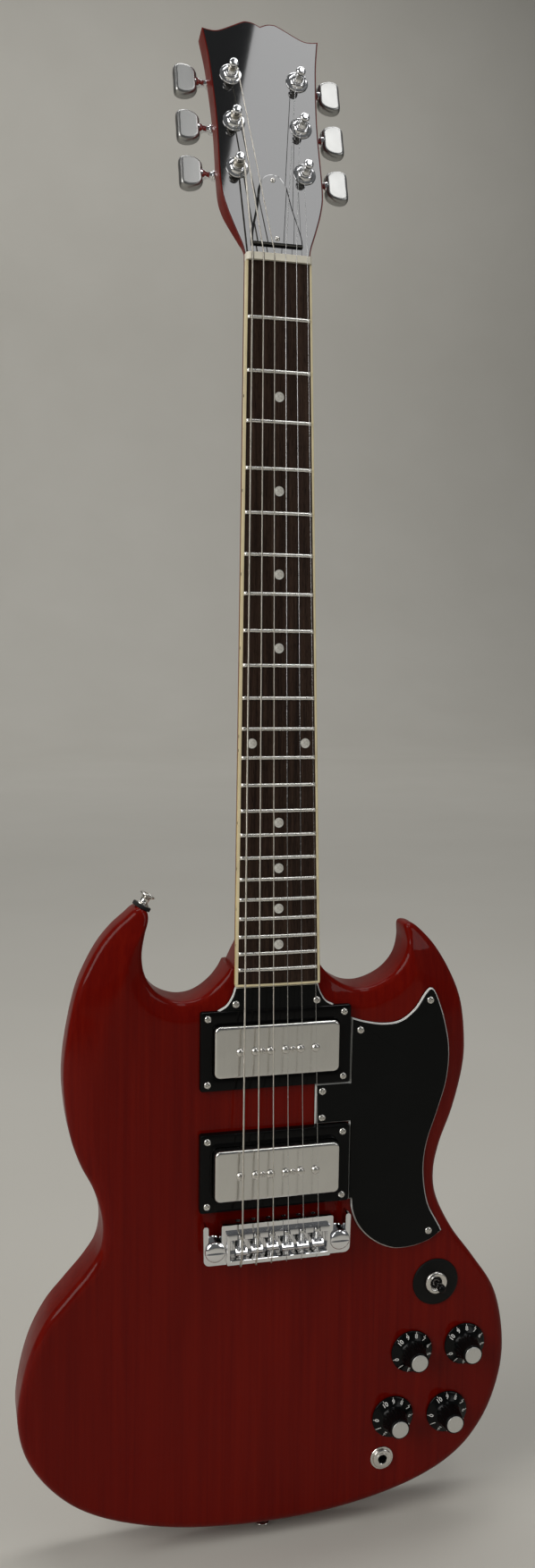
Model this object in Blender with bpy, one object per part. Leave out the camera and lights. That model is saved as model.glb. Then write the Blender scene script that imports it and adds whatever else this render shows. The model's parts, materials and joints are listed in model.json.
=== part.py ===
"""Double-cutaway electric guitar with two chrome-covered pickups, built at real size.

Frame: +Z runs up the neck, the face looks along -Y and +X is the treble side.
y = 0 is the back plane of the body, x = 0 the centre of the neck, z = 0 the saddle line.
Lengths below are in millimetres and are scaled to metres when a mesh is made.
"""

import math

import bmesh
import bpy
import numpy as np
from mathutils import Matrix, Vector
from mathutils.geometry import delaunay_2d_cdt

MM = 0.001
GAP = 0.3

# Scale and neck.
SCALE_LENGTH = 628.65
NECK_ANGLE = math.radians(3.0)
HEAD_ANGLE = math.radians(16.0)
NUT_HEIGHT = 628.0
BOARD_LENGTH = 463.3
BOARD_RISE = 6.2
BOARD_THICKNESS = 5.0
BOARD_RADIUS = 305.0
NUT_WIDTH = 43.0
WIDTH_PER_MM = (52.4 - NUT_WIDTH) / (SCALE_LENGTH / 2)
FRETS = 22
FRET_SLOT_WIDTH = 0.6
FRET_SLOT_DEPTH = 1.6
BINDING = 1.6
NUT_LENGTH = 4.5
NECK_DEPTH_AT_NUT = 16.0
NECK_DEPTH_AT_BODY = 19.5
TENON_HALF_WIDTH = 19.0
TENON_DEPTH = 17.0
TENON_END = 480.0
BODY_EDGE_AT_NECK = 180.0

# Body.
BODY_THICKNESS = 35.0
FACE = -BODY_THICKNESS
EDGE_RADIUS = 3.5
BODY_OUTLINE = [
    (-28.5, 180.0), (-34.0, 170.5), (-42.5, 161.8), (-52.0, 156.2), (-62.5, 154.9), (-73.0, 158.0),
    (-81.0, 164.3), (-86.6, 174.5), (-88.2, 187.0), (-86.3, 200.0), (-83.8, 210.5), (-86.0, 216.8),
    (-92.0, 216.6), (-98.3, 211.4), (-106.5, 204.2), (-115.0, 194.0), (-122.5, 181.0), (-129.5, 164.5),
    (-134.8, 142.0), (-138.3, 117.0), (-138.2, 95.0), (-134.5, 69.3), (-128.0, 49.5), (-119.0, 31.0),
    (-113.8, 10.0), (-115.5, -8.0), (-124.0, -22.0), (-137.5, -37.5), (-150.0, -52.5), (-160.5, -73.0),
    (-167.0, -97.0), (-169.5, -121.0), (-164.5, -146.0), (-150.5, -169.0), (-129.0, -188.5),
    (-98.0, -203.0), (-55.0, -213.5), (0.0, -217.8), (55.0, -215.0), (105.0, -204.0), (139.0, -186.5),
    (160.0, -161.0), (171.0, -129.0), (172.0, -99.0), (164.5, -67.0), (148.0, -41.5), (131.0, -18.5),
    (119.0, 5.0), (116.3, 24.0), (120.5, 44.5), (129.5, 68.0), (136.5, 95.0), (138.0, 116.0),
    (135.0, 143.0), (127.0, 163.5), (115.0, 183.0), (103.0, 195.8), (96.5, 199.8), (91.8, 198.0),
    (93.2, 187.0), (91.0, 177.0), (86.3, 169.6), (79.3, 163.6), (69.7, 159.2), (60.0, 157.7),
    (50.0, 159.8), (40.0, 166.0), (32.5, 173.5), (28.5, 180.0),
]
BASS_HORN_TIP = 11
TREBLE_HORN_TIP = 58
RIM_STEPS = 2
RING_DISTANCES = (1.2, EDGE_RADIUS, 11.0, 24.0)

# Headstock outline, as (half width, distance above the nut end of the face).
HEAD_SIDE = [(21.5, 0.3), (23.0, 8.0), (27.0, 19.5), (32.0, 36.0), (34.2, 52.0), (34.0, 91.0),
             (34.7, 114.5), (36.4, 141.0), (37.7, 153.0), (39.6, 166.4)]
HEAD_CREST = [(29.5, 165.4), (18.4, 171.2), (8.6, 175.6), (4.5, 175.0), (0.0, 172.8)]
HEAD_THICKNESS = 14.0
VENEER = 1.5
ROD_POCKET = ((-6.0, -5.0, 6.0), (6.0, 11.0, 30.0))
TUNER_X = 22.5
TUNER_ROWS = (62.4, 97.1, 132.2)
TUNER_HOLE = 5.1
POST_RADIUS = 3.1
POST_HEIGHT = 12.0
WORM_BEHIND_FACE = 17.5
WORM_OFFSET = 6.0
BUTTON_CENTRE = 26.9
BUTTON_LENGTH = 24.0
BUTTON_WIDTH = 15.6
BUTTON_THICKNESS = 7.6

# Strings, bass to treble.
STRING_DIAMETERS = (1.17, 0.91, 0.66, 0.43, 0.33, 0.25)
NUT_SPREAD = 35.8
BRIDGE_SPREAD = 51.8
NUT_STRING_HEIGHT = 1.7
SADDLE_STRING_HEIGHT = 21.5
POST_STRING_HEIGHT = 8.0

# Pickups: the rings sit on the face, centred on these heights.
NECK_PICKUP_Z = 122.3
BRIDGE_PICKUP_Z = 40.1
RING_SIZE = (102.5, 53.4)
RING_THICKNESS = {"neck": 3.4, "bridge": 5.0}
COVER_RISE = {"neck": 7.6, "bridge": 12.0}
COVER_SIZE = (85.0, 35.0)
COVER_DEPTH = 19.0
COVER_WALL = 0.9
COIL_SIZE = (80.0, 30.0, 12.0)

# Bridge.
STUD_X = 42.5
STUD_Z = -8.8
BRIDGE_TOP_Z = 8.0
BRIDGE_BOTTOM_Z = -18.5
BRIDGE_HALF = 50.0
BRIDGE_UNDERSIDE = -40.4
BRIDGE_DECK = -49.0
BRIDGE_CROWN = -52.6
CROWN_HALF = 35.3
CROWN_TOP_Z = 3.4
STUD_HEAD = 6.9
SADDLE_Z = (-8.8, -7.9, -7.0, -8.3, -8.3, -7.8)
SADDLE_SIZE = (7.8, 6.0)
POCKET_FLOOR = -45.0
STRING_HOLE_Y = -42.7

# Controls.
KNOBS = ((101.5, -103.5), (141.0, -102.6), (88.5, -150.2), (129.0, -152.0))
KNOB_RADIUS = 15.0
KNOB_HEIGHT = 17.0
SWITCH = (118.0, -54.4)
SWITCH_TILT = math.radians(12.0)
SWITCH_SWING = math.radians(-30.0)
JACK = (81.5, -180.5)
CAVITY_FLOOR = -29.0
CONTROL_CAVITY = [(97.0, -60.0), (102.0, -41.0), (118.0, -35.0), (134.0, -41.0), (141.0, -60.0),
                  (154.0, -82.0), (159.0, -108.0), (153.0, -140.0), (140.0, -162.0), (117.0, -174.0),
                  (99.0, -190.0), (80.0, -196.0), (65.0, -186.0), (65.0, -160.0), (72.0, -132.0),
                  (84.0, -95.0)]

# Strap buttons: place and outward direction on the rim.
UPPER_STRAP = ((-87.4, -17.5, 215.6), math.radians(30.0))
LOWER_STRAP = ((0.0, -17.5, -217.5), math.radians(180.0))


def clear_scene():
    for obj in list(bpy.data.objects):
        bpy.data.objects.remove(obj, do_unlink=True)


def material(name, colour, roughness, metallic=0.0):
    found = bpy.data.materials.get(name)
    if found:
        return found
    made = bpy.data.materials.new(name)
    made.use_nodes = True
    shader = made.node_tree.nodes["Principled BSDF"]
    shader.inputs["Base Color"].default_value = (*colour, 1.0)
    shader.inputs["Roughness"].default_value = roughness
    shader.inputs["Metallic"].default_value = metallic
    return made


def red_wood():
    return material("cherry_mahogany", (0.16, 0.012, 0.008), 0.18)


def rosewood():
    return material("rosewood", (0.022, 0.012, 0.008), 0.5)


def cream():
    return material("cream_binding", (0.72, 0.62, 0.38), 0.35)


def bone():
    return material("bone", (0.8, 0.76, 0.66), 0.4)


def black_plastic():
    return material("black_plastic", (0.006, 0.006, 0.006), 0.2)


def chrome():
    return material("chrome", (0.75, 0.75, 0.74), 0.12, 1.0)


def nickel():
    return material("nickel", (0.66, 0.63, 0.58), 0.22, 1.0)


def steel():
    return material("steel", (0.55, 0.55, 0.54), 0.35, 1.0)


def empty(name, location, rotation=(0.0, 0.0, 0.0), parent=None):
    """A frame that pieces are placed in."""
    obj = bpy.data.objects.new(name, None)
    bpy.context.collection.objects.link(obj)
    obj.parent = parent
    obj.location = [value * MM for value in location]
    obj.rotation_euler = rotation
    return obj


def piece(name, mesh, surface, location=(0.0, 0.0, 0.0), rotation=(0.0, 0.0, 0.0), parent=None):
    """An object from a bmesh in millimetres, shaded smooth except across its sharp edges."""
    bmesh.ops.recalc_face_normals(mesh, faces=mesh.faces)
    bmesh.ops.scale(mesh, verts=mesh.verts, vec=(MM, MM, MM))
    data = bpy.data.meshes.new(name)
    mesh.to_mesh(data)
    mesh.free()
    for polygon in data.polygons:
        polygon.use_smooth = True
    data.set_sharp_from_angle(angle=math.radians(35.0))
    if surface:
        data.materials.append(surface)
    obj = bpy.data.objects.new(name, data)
    bpy.context.collection.objects.link(obj)
    obj.parent = parent
    obj.location = [value * MM for value in location]
    obj.rotation_euler = rotation
    return obj


def combine(target, name, mesh, operation, location=(0.0, 0.0, 0.0), rotation=(0.0, 0.0, 0.0),
            parent=None):
    """Adds or removes a shape with a Boolean; the shape stays hidden."""
    tool = piece(name, mesh, None, location, rotation, parent)
    tool.hide_render = True
    tool.display_type = "WIRE"
    boolean = target.modifiers.new(name, "BOOLEAN")
    boolean.operation = operation
    boolean.object = tool


def cut(target, name, mesh, location=(0.0, 0.0, 0.0), rotation=(0.0, 0.0, 0.0), parent=None):
    combine(target, name, mesh, "DIFFERENCE", location, rotation, parent)


def fuse(target, name, mesh, location=(0.0, 0.0, 0.0), rotation=(0.0, 0.0, 0.0), parent=None):
    combine(target, name, mesh, "UNION", location, rotation, parent)


def block(low, high, mesh=None):
    """A box between two corners."""
    mesh = mesh or bmesh.new()
    size = [b - a for a, b in zip(low, high)]
    middle = [(a + b) / 2 for a, b in zip(low, high)]
    place = Matrix.Translation(middle) @ Matrix.Diagonal((*size, 1.0))
    bmesh.ops.create_cube(mesh, size=1.0, matrix=place)
    return mesh


def prism(outline, front, back):
    """A plate: the outline lies in X and Z and runs from y = front to y = back."""
    mesh = bmesh.new()
    near = [mesh.verts.new((x, front, z)) for x, z in outline]
    face = mesh.faces.new(near)
    grown = bmesh.ops.extrude_face_region(mesh, geom=[face])["geom"]
    moved = [item for item in grown if isinstance(item, bmesh.types.BMVert)]
    bmesh.ops.translate(mesh, verts=moved, vec=(0.0, back - front, 0.0))
    return mesh


def lathe(profile, sides, ring=False):
    """Turns (radius, height) points about Z. A ring's profile is a loop that stays off the axis."""
    mesh = bmesh.new()
    turns = [2 * math.pi * step / sides for step in range(sides)]
    rows = []
    for radius, height in profile:
        if radius == 0.0:
            rows.append([mesh.verts.new((0.0, 0.0, height))] * sides)
            continue
        rows.append([mesh.verts.new((radius * math.cos(a), radius * math.sin(a), height)) for a in turns])
    pairs = list(zip(rows, rows[1:]))
    if ring:
        pairs.append((rows[-1], rows[0]))
    for lower, upper in pairs:
        for step in range(sides):
            after = (step + 1) % sides
            corners = [lower[step], lower[after], upper[after], upper[step]]
            kept = [v for i, v in enumerate(corners) if v not in corners[:i]]
            if len(kept) > 2:
                mesh.faces.new(kept)
    return mesh


def cylinder(radius, low, high, sides=16):
    return lathe([(0.0, low), (radius, low), (radius, high), (0.0, high)], sides)


def loft(rings):
    """Joins rings of points, with the same number in each, and caps both ends."""
    mesh = bmesh.new()
    rows = [[mesh.verts.new(point) for point in ring] for ring in rings]
    for lower, upper in zip(rows, rows[1:]):
        for i in range(len(lower)):
            j = (i + 1) % len(lower)
            mesh.faces.new((lower[i], lower[j], upper[j], upper[i]))
    mesh.faces.new(rows[0][::-1])
    mesh.faces.new(rows[-1])
    return mesh


def spline(points, steps, closed=True):
    """A smooth curve through the points, with each stretch between two of them in equal steps."""
    points = [np.array(point, float) for point in points]
    count = len(points)
    stretches = count if closed else count - 1
    curve = []
    for i in range(stretches):
        if closed:
            a, b, c, d = (points[(i + k) % count] for k in (-1, 0, 1, 2))
        else:
            b, c = points[i], points[i + 1]
            a = points[i - 1] if i else 2 * b - c
            d = points[i + 2] if i + 2 < count else 2 * c - b
        for step in range(steps):
            t = step / steps
            bend = 2 * b + (c - a) * t + (2 * a - 5 * b + 4 * c - d) * t**2
            curve.append((bend + (3 * b - a - 3 * c + d) * t**3) / 2)
    if not closed:
        curve.append(points[-1])
    return [tuple(point) for point in curve]


def rounded(width, height, radius, steps=4, centre=(0.0, 0.0)):
    """A rectangle with round corners."""
    outline = []
    for corner, (sx, sz) in enumerate(((1, 1), (-1, 1), (-1, -1), (1, -1))):
        middle = (centre[0] + sx * (width / 2 - radius), centre[1] + sz * (height / 2 - radius))
        for step in range(steps + 1):
            turn = math.pi / 2 * (corner + step / steps)
            outline.append((middle[0] + radius * math.cos(turn), middle[1] + radius * math.sin(turn)))
    return outline


def inward_normals(outline):
    """Unit normals that point into an outline given anticlockwise."""
    along = np.roll(outline, -1, axis=0) - np.roll(outline, 1, axis=0)
    along /= np.linalg.norm(along, axis=1)[:, None]
    return np.column_stack((-along[:, 1], along[:, 0]))


def grown(outline, distance):
    outline = np.array(outline)
    area = np.sum(outline[:, 0] * np.roll(outline[:, 1], -1) - np.roll(outline[:, 0], -1) * outline[:, 1])
    inward = inward_normals(outline) * math.copysign(1.0, area)
    return [tuple(point) for point in outline - inward * distance]


def board_width(distance):
    """Width of the bound fretboard at a distance from the nut."""
    return NUT_WIDTH + WIDTH_PER_MM * distance


def neck_shaft_length():
    """Distance from the nut to the square end of the neck's shaft, where it meets the body."""
    return (NUT_HEIGHT - BODY_EDGE_AT_NECK - GAP) / math.cos(NECK_ANGLE)


def make_body():
    rim = np.array(spline(BODY_OUTLINE, RIM_STEPS, closed=False))
    normals = inward_normals(rim)
    horn = np.clip(rim[:, 1] / 150.0, 0.0, 1.0)
    bevel_width = 6.0 + 19.0 * horn
    bevel_depth = 2.0 + 5.5 * horn
    inside = np.arange(len(rim))
    cutaway = (inside < BASS_HORN_TIP * RIM_STEPS) | (inside > TREBLE_HORN_TIP * RIM_STEPS)
    bevel_width[cutaway] = 13.0
    bevel_depth[cutaway] = 3.5
    # The bevels die out where the body meets the neck.
    at_neck = np.clip((BODY_EDGE_AT_NECK - rim[:, 1]) / 15.0, 0.0, 1.0)
    bevel_depth[np.abs(rim[:, 0]) < 45.0] *= at_neck[np.abs(rim[:, 0]) < 45.0]

    def distances(point):
        return np.hypot(*(rim - point).T)

    points = list(rim)
    for distance in RING_DISTANCES:
        for point in rim + normals * distance:
            if distances(point).min() > 0.93 * distance:
                points.append(point)
    edges = [(i, (i + 1) % len(rim)) for i in range(len(rim))]
    flat = [Vector(point) for point in points]
    verts, _, faces, *_ = delaunay_2d_cdt(flat, edges, [], 1, 1e-3)

    mesh = bmesh.new()
    front, back = [], []
    for x, z in verts:
        away = distances(np.array((x, z)))
        bevel = np.max(bevel_depth * np.clip(1.0 - away / bevel_width, 0.0, 1.0) ** 1.3)
        inset = max(EDGE_RADIUS - away.min(), 0.0)
        bevel += EDGE_RADIUS - math.sqrt(EDGE_RADIUS**2 - inset**2)
        front.append(mesh.verts.new((x, FACE + bevel, z)))
        back.append(mesh.verts.new((x, -bevel, z)))
    sides = {}
    for corners in faces:
        mesh.faces.new([front[i] for i in corners])
        mesh.faces.new([back[i] for i in reversed(corners)])
        for a, b in zip(corners, corners[1:] + corners[:1]):
            key = (min(a, b), max(a, b))
            sides[key] = None if key in sides else (a, b)
    for a, b in filter(None, sides.values()):
        mesh.faces.new((front[a], front[b], back[b], back[a]))
    return piece("body", mesh, red_wood())


def hollow_body(body, neck_frame):
    """Cuts the joints, cavities and bores that the fitted pieces need."""
    above, past = -30.0, -430.0
    cut(body, "cut_neck_shoulder", block((-40.0, above, -neck_shaft_length() - GAP), (40.0, 60.0, past)),
        parent=neck_frame)
    cut(body, "cut_board_seat", block((-40.0, above, -BOARD_LENGTH - 1.0),
                                      (40.0, BOARD_THICKNESS + GAP, past)), parent=neck_frame)
    half = TENON_HALF_WIDTH + GAP
    floor = BOARD_THICKNESS + TENON_DEPTH + 2 * GAP
    cut(body, "cut_tenon", block((-half, above, -TENON_END - GAP), (half, floor, past)), parent=neck_frame)
    for name, height in (("neck", NECK_PICKUP_Z), ("bridge", BRIDGE_PICKUP_Z)):
        pocket = rounded(COVER_SIZE[0] + 4.0, COVER_SIZE[1] + 4.0, 5.0, 2, (0.0, height))
        cut(body, f"cut_{name}_pocket", prism(pocket, FACE - 5.0, -10.5))
    cavity = spline(CONTROL_CAVITY, 2)
    cut(body, "cut_control_cavity", prism(cavity, CAVITY_FLOOR, 5.0))
    cut(body, "cut_cover_rebate", prism(grown(cavity, 6.3), -2.6, 5.0))
    for number, (x, z) in enumerate(KNOBS):
        cut(body, f"cut_pot_{number + 1}", cylinder(5.0, -36.0, -20.0), (x, 0.0, z), (-math.pi / 2, 0, 0))
    cut(body, "cut_switch", cylinder(6.3, -36.0, -20.0), (SWITCH[0], 0.0, SWITCH[1]), (-math.pi / 2, 0, 0))
    cut(body, "cut_jack", cylinder(6.5, -36.0, -20.0), (JACK[0], 0.0, JACK[1]), (-math.pi / 2, 0, 0))
    for side, x in (("bass", -STUD_X), ("treble", STUD_X)):
        cut(body, f"cut_{side}_stud", cylinder(4.2, -36.0, -12.0, 12), (x, 0.0, STUD_Z),
            (-math.pi / 2, 0, 0))
    for name, (place, turn) in (("upper", UPPER_STRAP), ("lower", LOWER_STRAP)):
        cut(body, f"cut_{name}_strap_seat", block((-15.0, -25.0, 0.0), (15.0, 25.0, 12.0)), place,
            (0.0, turn, 0.0))
        cut(body, f"cut_{name}_strap_hole", cylinder(2.1, -24.0, 2.0, 8), place, (0.0, turn, 0.0))


def neck_section(distance, top, depth):
    """A D-shaped ring of the neck at a distance from the nut."""
    half = board_width(max(distance, 0.0)) / 2
    arc = [math.pi * step / 10 for step in range(11)]
    side = 1.5
    curve = [(half * math.cos(a), top + side + (depth - side) * math.sin(a) ** 0.9) for a in arc]
    ring = [(half, top), *curve, (-half, top)]
    return [(x, y, -distance) for x, y in ring]


def head_outline(start=0.0):
    """The headstock's outline, with its lower edge raised by start."""
    right = spline(HEAD_SIDE, 2, closed=False) + spline(HEAD_CREST, 2, closed=False)
    right[0] = (right[0][0], right[0][1] + start)
    return right + [(-x, z) for x, z in reversed(right) if x > 0.0]


def make_neck(neck_frame, head_frame):
    under_board = BOARD_THICKNESS + GAP
    body_edge = neck_shaft_length()
    rings = [neck_section(-NUT_LENGTH - 7.0, under_board + 4.0, NECK_DEPTH_AT_NUT - 3.0),
             neck_section(-NUT_LENGTH - 0.1, under_board + 1.5, NECK_DEPTH_AT_NUT - 2.0),
             neck_section(0.1 - NUT_LENGTH, under_board, NECK_DEPTH_AT_NUT - 0.5)]
    for share in (0.0, 0.1, 0.5, 0.92, 1.0):
        distance = body_edge * share
        depth = NECK_DEPTH_AT_NUT + (NECK_DEPTH_AT_BODY - NECK_DEPTH_AT_NUT) * share
        rings.append(neck_section(distance, under_board, depth))
    neck = piece("neck", loft(rings[::-1]), red_wood(), parent=neck_frame)
    fuse(neck, "add_headstock", prism(head_outline(), VENEER + GAP, HEAD_THICKNESS), parent=head_frame)
    fuse(neck, "add_tenon", block((-TENON_HALF_WIDTH, under_board + 2.2, -TENON_END),
                                  (TENON_HALF_WIDTH, under_board + TENON_DEPTH, 4.0 - body_edge)),
         parent=neck_frame)
    cut(neck, "cut_rod_channel", block((-3.2, 0.0, -452.0), (3.2, under_board + 9.5, 12.0)),
        parent=neck_frame)
    cut(neck, "cut_rod_pocket", block(*ROD_POCKET), parent=head_frame)
    drill_tuner_holes(neck, head_frame)
    return neck


def drill_tuner_holes(target, head_frame):
    for side, x in (("bass", -TUNER_X), ("treble", TUNER_X)):
        for row, height in enumerate(TUNER_ROWS):
            cut(target, f"cut_{target.name}_{side}_{row + 1}", cylinder(TUNER_HOLE, -20.0, 5.0, 12),
                (x, 0.0, height), (math.pi / 2, 0, 0), head_frame)


def make_headstock_veneer(head_frame):
    veneer = piece("headstock_veneer", prism(head_outline(start=0.6), 0.0, VENEER), black_plastic(),
                   parent=head_frame)
    cut(veneer, "cut_veneer_rod_pocket", block(*ROD_POCKET), parent=head_frame)
    drill_tuner_holes(veneer, head_frame)


def board_ring(distance, half):
    """Cross-section of the fretboard: flat below, cambered on top."""
    steps = [half * (step / 2 - 1) for step in range(5)]
    top = [(x, BOARD_RADIUS - math.sqrt(BOARD_RADIUS**2 - x**2)) for x in steps]
    ring = [(-half, BOARD_THICKNESS), *top, (half, BOARD_THICKNESS)]
    return [(x, y, -distance) for x, y in ring]


def fret_distance(number):
    return SCALE_LENGTH * (1 - 2 ** (-number / 12))


def make_fretboard(neck_frame):
    inset = BINDING + GAP
    start, end = GAP, BOARD_LENGTH - inset
    rings = [board_ring(d, board_width(d) / 2 - inset) for d in (end, start)]
    board = piece("fretboard", loft(rings), rosewood(), parent=neck_frame)
    slots = bmesh.new()
    for number in range(1, FRETS + 1):
        middle = -fret_distance(number)
        floor = FRET_SLOT_DEPTH
        block((-40.0, -5.0, middle - FRET_SLOT_WIDTH / 2), (40.0, floor, middle + FRET_SLOT_WIDTH / 2), slots)
    cut(board, "cut_fret_slots", slots, parent=neck_frame)


def make_binding(neck_frame):
    """One strip down each side of the board and across its end."""
    outer_nut, outer_end = NUT_WIDTH / 2, board_width(BOARD_LENGTH) / 2
    inner_nut, inner_end = outer_nut - BINDING, board_width(BOARD_LENGTH - BINDING) / 2 - BINDING
    outline = [(-outer_nut, -GAP), (-outer_end, -BOARD_LENGTH), (outer_end, -BOARD_LENGTH),
               (outer_nut, -GAP), (inner_nut, -GAP), (inner_end, BINDING - BOARD_LENGTH),
               (-inner_end, BINDING - BOARD_LENGTH), (-inner_nut, -GAP)]
    camber = BOARD_RADIUS - math.sqrt(BOARD_RADIUS**2 - outer_nut**2)
    piece("fretboard_binding", prism(outline, camber, BOARD_THICKNESS), cream(), parent=neck_frame)


def string_place(number, distance):
    """x and y of a string, in the neck's frame, at a distance from the nut."""
    share = distance / SCALE_LENGTH
    across = number / 5 - 0.5
    x = across * (NUT_SPREAD + (BRIDGE_SPREAD - NUT_SPREAD) * share)
    bridge_y = FACE - SADDLE_STRING_HEIGHT
    nut_y = FACE - BOARD_RISE + BOARD_LENGTH * math.sin(NECK_ANGLE)
    end = (bridge_y - nut_y) * math.cos(NECK_ANGLE) - (NUT_HEIGHT * math.sin(NECK_ANGLE))
    return x, -NUT_STRING_HEIGHT + (end + NUT_STRING_HEIGHT) * share


def make_nut(neck_frame):
    outline = [(-NUT_WIDTH / 2, BOARD_THICKNESS), (-NUT_WIDTH / 2, 0.3), (-NUT_SPREAD / 2 - 1.5, -1.9),
               (NUT_SPREAD / 2 + 1.5, -1.9), (NUT_WIDTH / 2, 0.3), (NUT_WIDTH / 2, BOARD_THICKNESS)]
    ring = [(x, y, GAP / 2) for x, y in outline]
    nut = piece("nut", loft([ring, [(x, y, NUT_LENGTH) for x, y, _ in ring]]), bone(), parent=neck_frame)
    slots = bmesh.new()
    for number, diameter in enumerate(STRING_DIAMETERS):
        x, y = string_place(number, 0.0)
        half = diameter / 2 + 0.2
        block((x - half, -6.0, -2.0), (x + half, y + half, NUT_LENGTH + 2.0), slots)
    cut(nut, "cut_nut_slots", slots, parent=neck_frame)


def make_truss_rod(neck_frame):
    """The adjusting rod in its channel, with its nut in the pocket of the headstock."""
    profile = [(0.0, -450.0), (2.4, -450.0), (2.4, 11.0), (3.2, 11.0), (3.2, 18.0), (0.0, 18.0)]
    piece("truss_rod", lathe(profile, 6), steel(), (0.0, BOARD_THICKNESS + GAP + 6.5, 0.0),
          parent=neck_frame)


def make_truss_cover(head_frame):
    half = [(17.0, 7.5), (16.6, 14.0), (14.5, 24.0), (12.0, 34.0), (10.3, 44.0), (9.0, 51.0), (5.5, 57.0)]
    right = spline(half, 2, closed=False)
    outline = right + [(0.0, 59.0)] + [(-x, z) for x, z in reversed(right)]
    piece("truss_rod_cover", prism(outline, -GAP - 2.0, -GAP), black_plastic(), parent=head_frame)


def tuner_places():
    """Number, side and height of each tuner, in string order from bass to treble."""
    bass = [(number, -1.0, height) for number, height in zip((1, 2, 3), TUNER_ROWS)]
    treble = [(number, 1.0, height) for number, height in zip((6, 5, 4), TUNER_ROWS)]
    return sorted(bass + treble)


def make_tuner(number, side, height, head_frame):
    """Housing with gear chamber, string post with worm wheel, and button with worm shaft."""
    top = HEAD_THICKNESS + GAP
    x = side * TUNER_X
    outline = rounded(18.0, 21.0, 5.5, 3, (x, height + 2.6))
    housing = piece(f"tuner_housing_{number}", prism(outline, top, top + 10.0), chrome(), parent=head_frame)
    cut(housing, f"cut_wheel_room_{number}", cylinder(5.6, -top - 8.0, -top + 3.0, 12), (x, 0.0, height),
        (math.pi / 2, 0, 0), head_frame)
    worm = (x, WORM_BEHIND_FACE, height + WORM_OFFSET)
    cut(housing, f"cut_worm_room_{number}", cylinder(2.7, -6.0, 14.0, 10), worm,
        (0.0, side * math.pi / 2, 0.0), head_frame)

    wheel = WORM_BEHIND_FACE
    profile = [(0.0, -wheel - 2.2), (3.7, -wheel - 2.2), (3.7, -wheel + 1.6), (POST_RADIUS, -wheel + 1.6),
               (POST_RADIUS, 6.6), (2.6, 7.4), (2.6, 9.4), (POST_RADIUS, 10.2), (POST_RADIUS, POST_HEIGHT - 0.6),
               (2.5, POST_HEIGHT), (0.0, POST_HEIGHT)]
    piece(f"tuner_post_{number}", lathe(profile, 12), chrome(), (x, 0.0, height), (math.pi / 2, 0, 0),
          head_frame)

    shaft = [(0.0, -5.0), (2.0, -5.0), (2.0, 9.6), (3.1, 10.0), (3.1, 12.4), (2.3, 13.0), (2.3, 18.5),
             (3.6, 20.5), (3.6, 22.5), (0.0, 22.5)]
    button = piece(f"tuner_button_{number}", lathe(shaft, 10), chrome(), worm,
                   (0.0, side * math.pi / 2, 0.0), head_frame)
    half_l, half_w, half_t = BUTTON_LENGTH / 2, BUTTON_WIDTH / 2, BUTTON_THICKNESS / 2
    low = BUTTON_CENTRE - half_w
    high = low + BUTTON_WIDTH
    silhouette = spline([(-half_l * 0.36, low), (half_l * 0.36, low), (half_l * 0.82, high - 10.4),
                         (half_l, high - 4.4), (half_l * 0.72, high), (-half_l * 0.72, high),
                         (-half_l, high - 4.4), (-half_l * 0.82, high - 10.4)], 2)
    fuse(button, f"add_button_{number}", button_blank(silhouette, half_t), worm,
         (0.0, side * math.pi / 2, 0.0), head_frame)


def button_blank(silhouette, half):
    """A plate whose faces are a little smaller than its waist."""
    layers = ((1.4, -half), (0.0, -half * 0.45), (0.0, half * 0.45), (1.4, half))
    return loft([[(x, y, z) for x, z in grown(silhouette, -inset)] for inset, y in layers])


def make_strings(neck_frame, head_frame):
    """Each string runs from its post over the nut and saddle, round the bridge and into its hole."""
    bpy.context.view_layer.update()
    for number, side, height in tuner_places():
        index = number - 1
        radius = STRING_DIAMETERS[index] / 2
        at_post = Vector((side * (TUNER_X - POST_RADIUS - radius - GAP), -POST_STRING_HEIGHT, height))
        x, y = string_place(index, 0.0)
        at_nut = Vector((x, y - 0.05, NUT_LENGTH / 2))
        saddle_x = (index / 5 - 0.5) * BRIDGE_SPREAD
        saddle_y = FACE - SADDLE_STRING_HEIGHT
        ring = Vector((x, y - 0.35, NUT_LENGTH + 0.8))
        path = [head_frame.matrix_world @ (at_post * MM), neck_frame.matrix_world @ (ring * MM),
                neck_frame.matrix_world @ (at_nut * MM)]
        off = radius + GAP + 0.1
        rear = BRIDGE_BOTTOM_Z - off
        tail = [(saddle_y, SADDLE_Z[index]), (BRIDGE_CROWN - off, -15.2),
                (BRIDGE_CROWN - off, BRIDGE_BOTTOM_Z + 0.6), (BRIDGE_CROWN - 0.7 * off, rear + 0.3 * off),
                (BRIDGE_CROWN + 1.0, rear), (STRING_HOLE_Y - 1.8, rear), (STRING_HOLE_Y - 0.4, rear + 0.5),
                (STRING_HOLE_Y, BRIDGE_BOTTOM_Z + 1.5), (STRING_HOLE_Y, BRIDGE_TOP_Z - 2.0)]
        path += [Vector((saddle_x, y, z)) * MM for y, z in tail]
        add_wire(f"string_{number}", path, radius, steel() if index > 2 else nickel())


def add_wire(name, path, radius, surface):
    curve = bpy.data.curves.new(name, "CURVE")
    curve.dimensions = "3D"
    curve.bevel_depth = radius * MM
    curve.bevel_resolution = 1
    curve.use_fill_caps = True
    line = curve.splines.new("POLY")
    line.points.add(len(path) - 1)
    for point, place in zip(line.points, path):
        point.co = (*place, 1.0)
    curve.materials.append(surface)
    obj = bpy.data.objects.new(name, curve)
    bpy.context.collection.objects.link(obj)


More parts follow.
